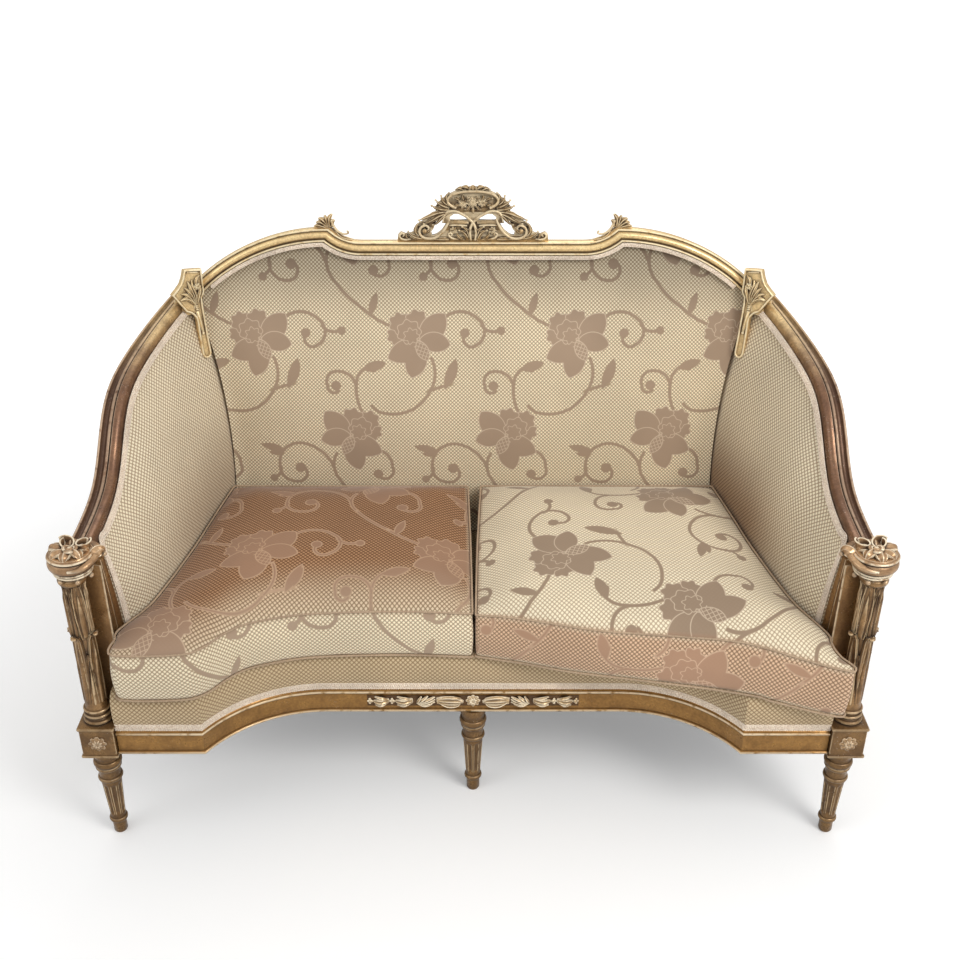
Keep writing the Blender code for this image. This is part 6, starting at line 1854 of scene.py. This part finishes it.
def knuckleRose():
    top, parts = knuckle["top"], []
    for angle, reach, half in drumLeaves:
        d = np.array((math.cos(math.radians(angle)), math.sin(math.radians(angle)), 0))
        spine = [d * 0.006 + (0, 0, top - 0.002), d * reach * 0.52 + (0, 0, top + 0.0042),
                 d * reach * 0.86 + (0, 0, top + 0.003), d * reach + (0, 0, top - 0.004)]
        widths = [half * 0.5, half * 0.95, half * 1.05, half * 0.9, half * 0.35]
        parts.append(leaf(spine, widths, (0, 0, 1), 0.0032, 0.004, 1.6, lobes=2, lobeDepth=0.1, cols=13))
    # petals standing as loops behind a bud
    for angle, reach, size, tall, lean in rolledPetals:
        turn, up = np.meshgrid(np.linspace(0, 1, 40), np.linspace(0, 1, 9), indexing="ij")
        r = size * (0.62 + 0.38 * turn) * (1 + 0.16 * up ** 4)
        a = turn * 2.15 * math.pi
        front = np.stack([r * np.cos(a), r * np.sin(a), tall * up * (0.86 + 0.14 * np.cos(a))], -1)
        thin = np.stack([np.cos(a), np.sin(a), 0 * a], -1) * 0.0026
        place = Matrix.Rotation(math.radians(angle), 4, "Z") @ Matrix.Translation((reach, 0, top - 0.0085))
        parts += moved([shell(front, front - thin)], place @ Matrix.Rotation(math.radians(lean), 4, "Y"))
    parts.append(ball((knuckle["budX"], knuckle["budY"], top + 0.002), 0.0085, (1, 1, 1.1)))
    bud = Matrix.Translation((knuckle["budX"], knuckle["budY"], 0.001))
    for i in range(3):
        petal = curledPetal(math.radians(120 * i - 90), 0.005, 0.0125, top - 0.006, top + 0.011, 0.85, 0.0034)
        parts += moved([petal], bud)
    return parts


makeKnuckles()


facing = {"low": 0.2843, "high": 0.602, "postGap": 0.0285, "padGap": 0.0006, "postX": -0.651, "backX": -0.709,
          "return": 0.4, "returnSlope": 0.135, "scoop": 0.004}


def halfRound(v, middle, half):
    return np.sqrt(np.maximum(0, 1 - ((v - middle) / half) ** 2))


def makeFacings():
    # scooped boards between post and pad, with a moulding along the pad
    step, w = np.meshgrid(np.linspace(-facing["return"], 1, 43), np.linspace(0, 1, 40), indexing="ij")
    v = np.maximum(step, 0)
    z = lerp(facing["low"], facing["high"], w)
    share = np.clip((z - wing["bottom"]) / (wingTop(np.array(0.0))[0][2] - wing["bottom"]), 0, 1)
    pad = wingPoint(0.0 * share, share, 0.0)
    nearY, farY = sofa["postY"] + facing["postGap"], pad[..., 1] - facing["padGap"]
    ridge = halfRound(v, 0.8, 0.17) * 0.005 + halfRound(v, 0.56, 0.05) * 0.0018
    inner = lerp(facing["postX"], pad[..., 0] - 0.001, v) - facing["scoop"] * np.sin(math.pi * v)
    inner = inner + facing["returnSlope"] * np.minimum(step, 0)
    far = (step + facing["return"]) / (1 + facing["return"])
    behind = np.stack([lerp(facing["backX"], pad[..., 0] - 0.018, far), lerp(nearY, farY, far), z], -1)
    board = shell(np.stack([inner + ridge, lerp(nearY, farY, v), z], -1), behind)
    makePair("armFacing", [board], "gilt_arm", "facing", "arm_facing")


makeFacings()

# gimp braid: a flat band with corded edges and a crossing braid
gimp = {"crest": 0.0036, "arm": 0.0054, "front": 0.0066, "thick": 0.0011, "step": 0.0013}


def braid(path, facing, wide):
    # facing: outward direction at each point of the path
    run = runLength(path)
    dense = evenLine(path, max(8, int(run[-1] / gimp["step"])))
    at = np.linspace(0, run[-1], len(dense))
    out = unit(np.column_stack([np.interp(at, run, np.broadcast_to(facing, path.shape)[:, k])
                                for k in range(3)]))
    along = tangents(dense)
    side = unit(np.cross(along, out))
    out = np.cross(side, along)
    s = np.linspace(-1, 1, 5)[None, :, None]
    mid = dense[:, None] + side[:, None] * (s * wide)
    parts = [shell(mid + out[:, None] * gimp["thick"], mid - out[:, None] * 0.0004)]
    phase = at / (wide * 1.3) * 2 * math.pi
    for shift in (-1, 1):
        aside = shift * (wide - 0.0006 + 0.0004 * np.sin(phase * 2))
        edge = dense + side * aside[:, None] + out * (0.0013 + 0.0003 * np.cos(phase * 2))[:, None]
        parts.append(tube(edge, 0.0012 + 0.0003 * np.sin(phase * 2), 6, up=(0.1, -0.7, 0.7)))
        aside = (wide - 0.0022) * np.sin(phase + (0 if shift > 0 else math.pi))
        cross = dense + side * aside[:, None] + out * (0.0015 + 0.0006 * shift * np.cos(phase))[:, None]
        parts.append(tube(cross, 0.00105, 6, up=(0.1, -0.7, 0.7)))
    return parts


def makeGimps():
    plan = np.array(frontLine(60))
    path = np.stack([plan[:, 0], plan[:, 1] + 0.0018, np.full(len(plan), 0.2768)], -1)
    outward = unit(np.cross(tangents(path), (0, 0, 1.0)))
    makePiece("frontGimp", braid(path, outward, gimp["front"]), "gimp_braid", replaces=["front_gimp"],
              sharp=None)
    # under the crest rail, mitred like it
    line = np.stack(crestLine(0.552, 40, 10), -1)
    low = inset(np.vstack([line, [(0.6, -0.5), (-0.6, -0.5)]]), 0.018)[:-2]
    low[0], low[-1] = low[1] + (low[1] - low[2]), low[-2] + (low[-2] - low[-3])
    path = np.stack([low[:, 0], np.full(len(low), -0.0036), low[:, 1]], -1)
    band = braid(path, (0.0, -1.0, -0.15), gimp["crest"])
    makePiece("crestGimp", moved(band, rakeMatrix), "gimp_braid", sharp=None)
    # along the arm rail and down the front of the pad
    t = np.linspace(0.045, 0.985, 80)
    middle, inward, rise = armFrame(t)
    top = middle + inward * 0.02 - rise * 0.009
    share = np.linspace(0.93, 0.0, 24)
    front = wingPoint(0.0 * share + 0.012, share, 0.0)
    turned = smoothLine(np.vstack([front[::-1][::4], top[2::4]]), 160)
    mix = smoothStep(0.12, 0.34, np.linspace(0, 1, 160))[:, None]
    outward = lerp(np.array((0.75, -0.66, 0.0)), np.array((0.72, -0.05, 0.7)), mix)
    makePair("armGimp", braid(turned + outward * 0.0012, outward, gimp["arm"]), "gimp_braid", sharp=None)


makeGimps()
print("gimp ready")


def makeDustCover():
    # black cambric tacked under the seat rails, cut round the legs
    left = [(-0.5537, 0.254), (-0.5537, 0.22), (-sideRailX(0.22) - 0.011, 0.22),
            (-sideRailX(-0.258) - 0.011, -0.258), (-0.6517, -0.258), (-0.6517, -0.338)]
    line = [(x, y + 0.008) for x, y in frontLine(30)[1:-1] if abs(x) > 0.04]
    half = len(line) // 2
    notch = [(-0.033, -0.2175), (-0.033, -0.173), (0.033, -0.173), (0.033, -0.2175)]
    outline = left + line[:half] + notch + line[half:] + [(-x, y) for x, y in reversed(left)]
    verts, faces = plate([outline], 0.0004, 0.0)
    verts = np.stack([verts[:, 0], verts[:, 2], 0.212 - verts[:, 1]], -1)
    piece = makePiece("dustCover", [(verts, faces)], "cambric", replaces=["dust_cover"])


makeDustCover()
print("pieces ready")
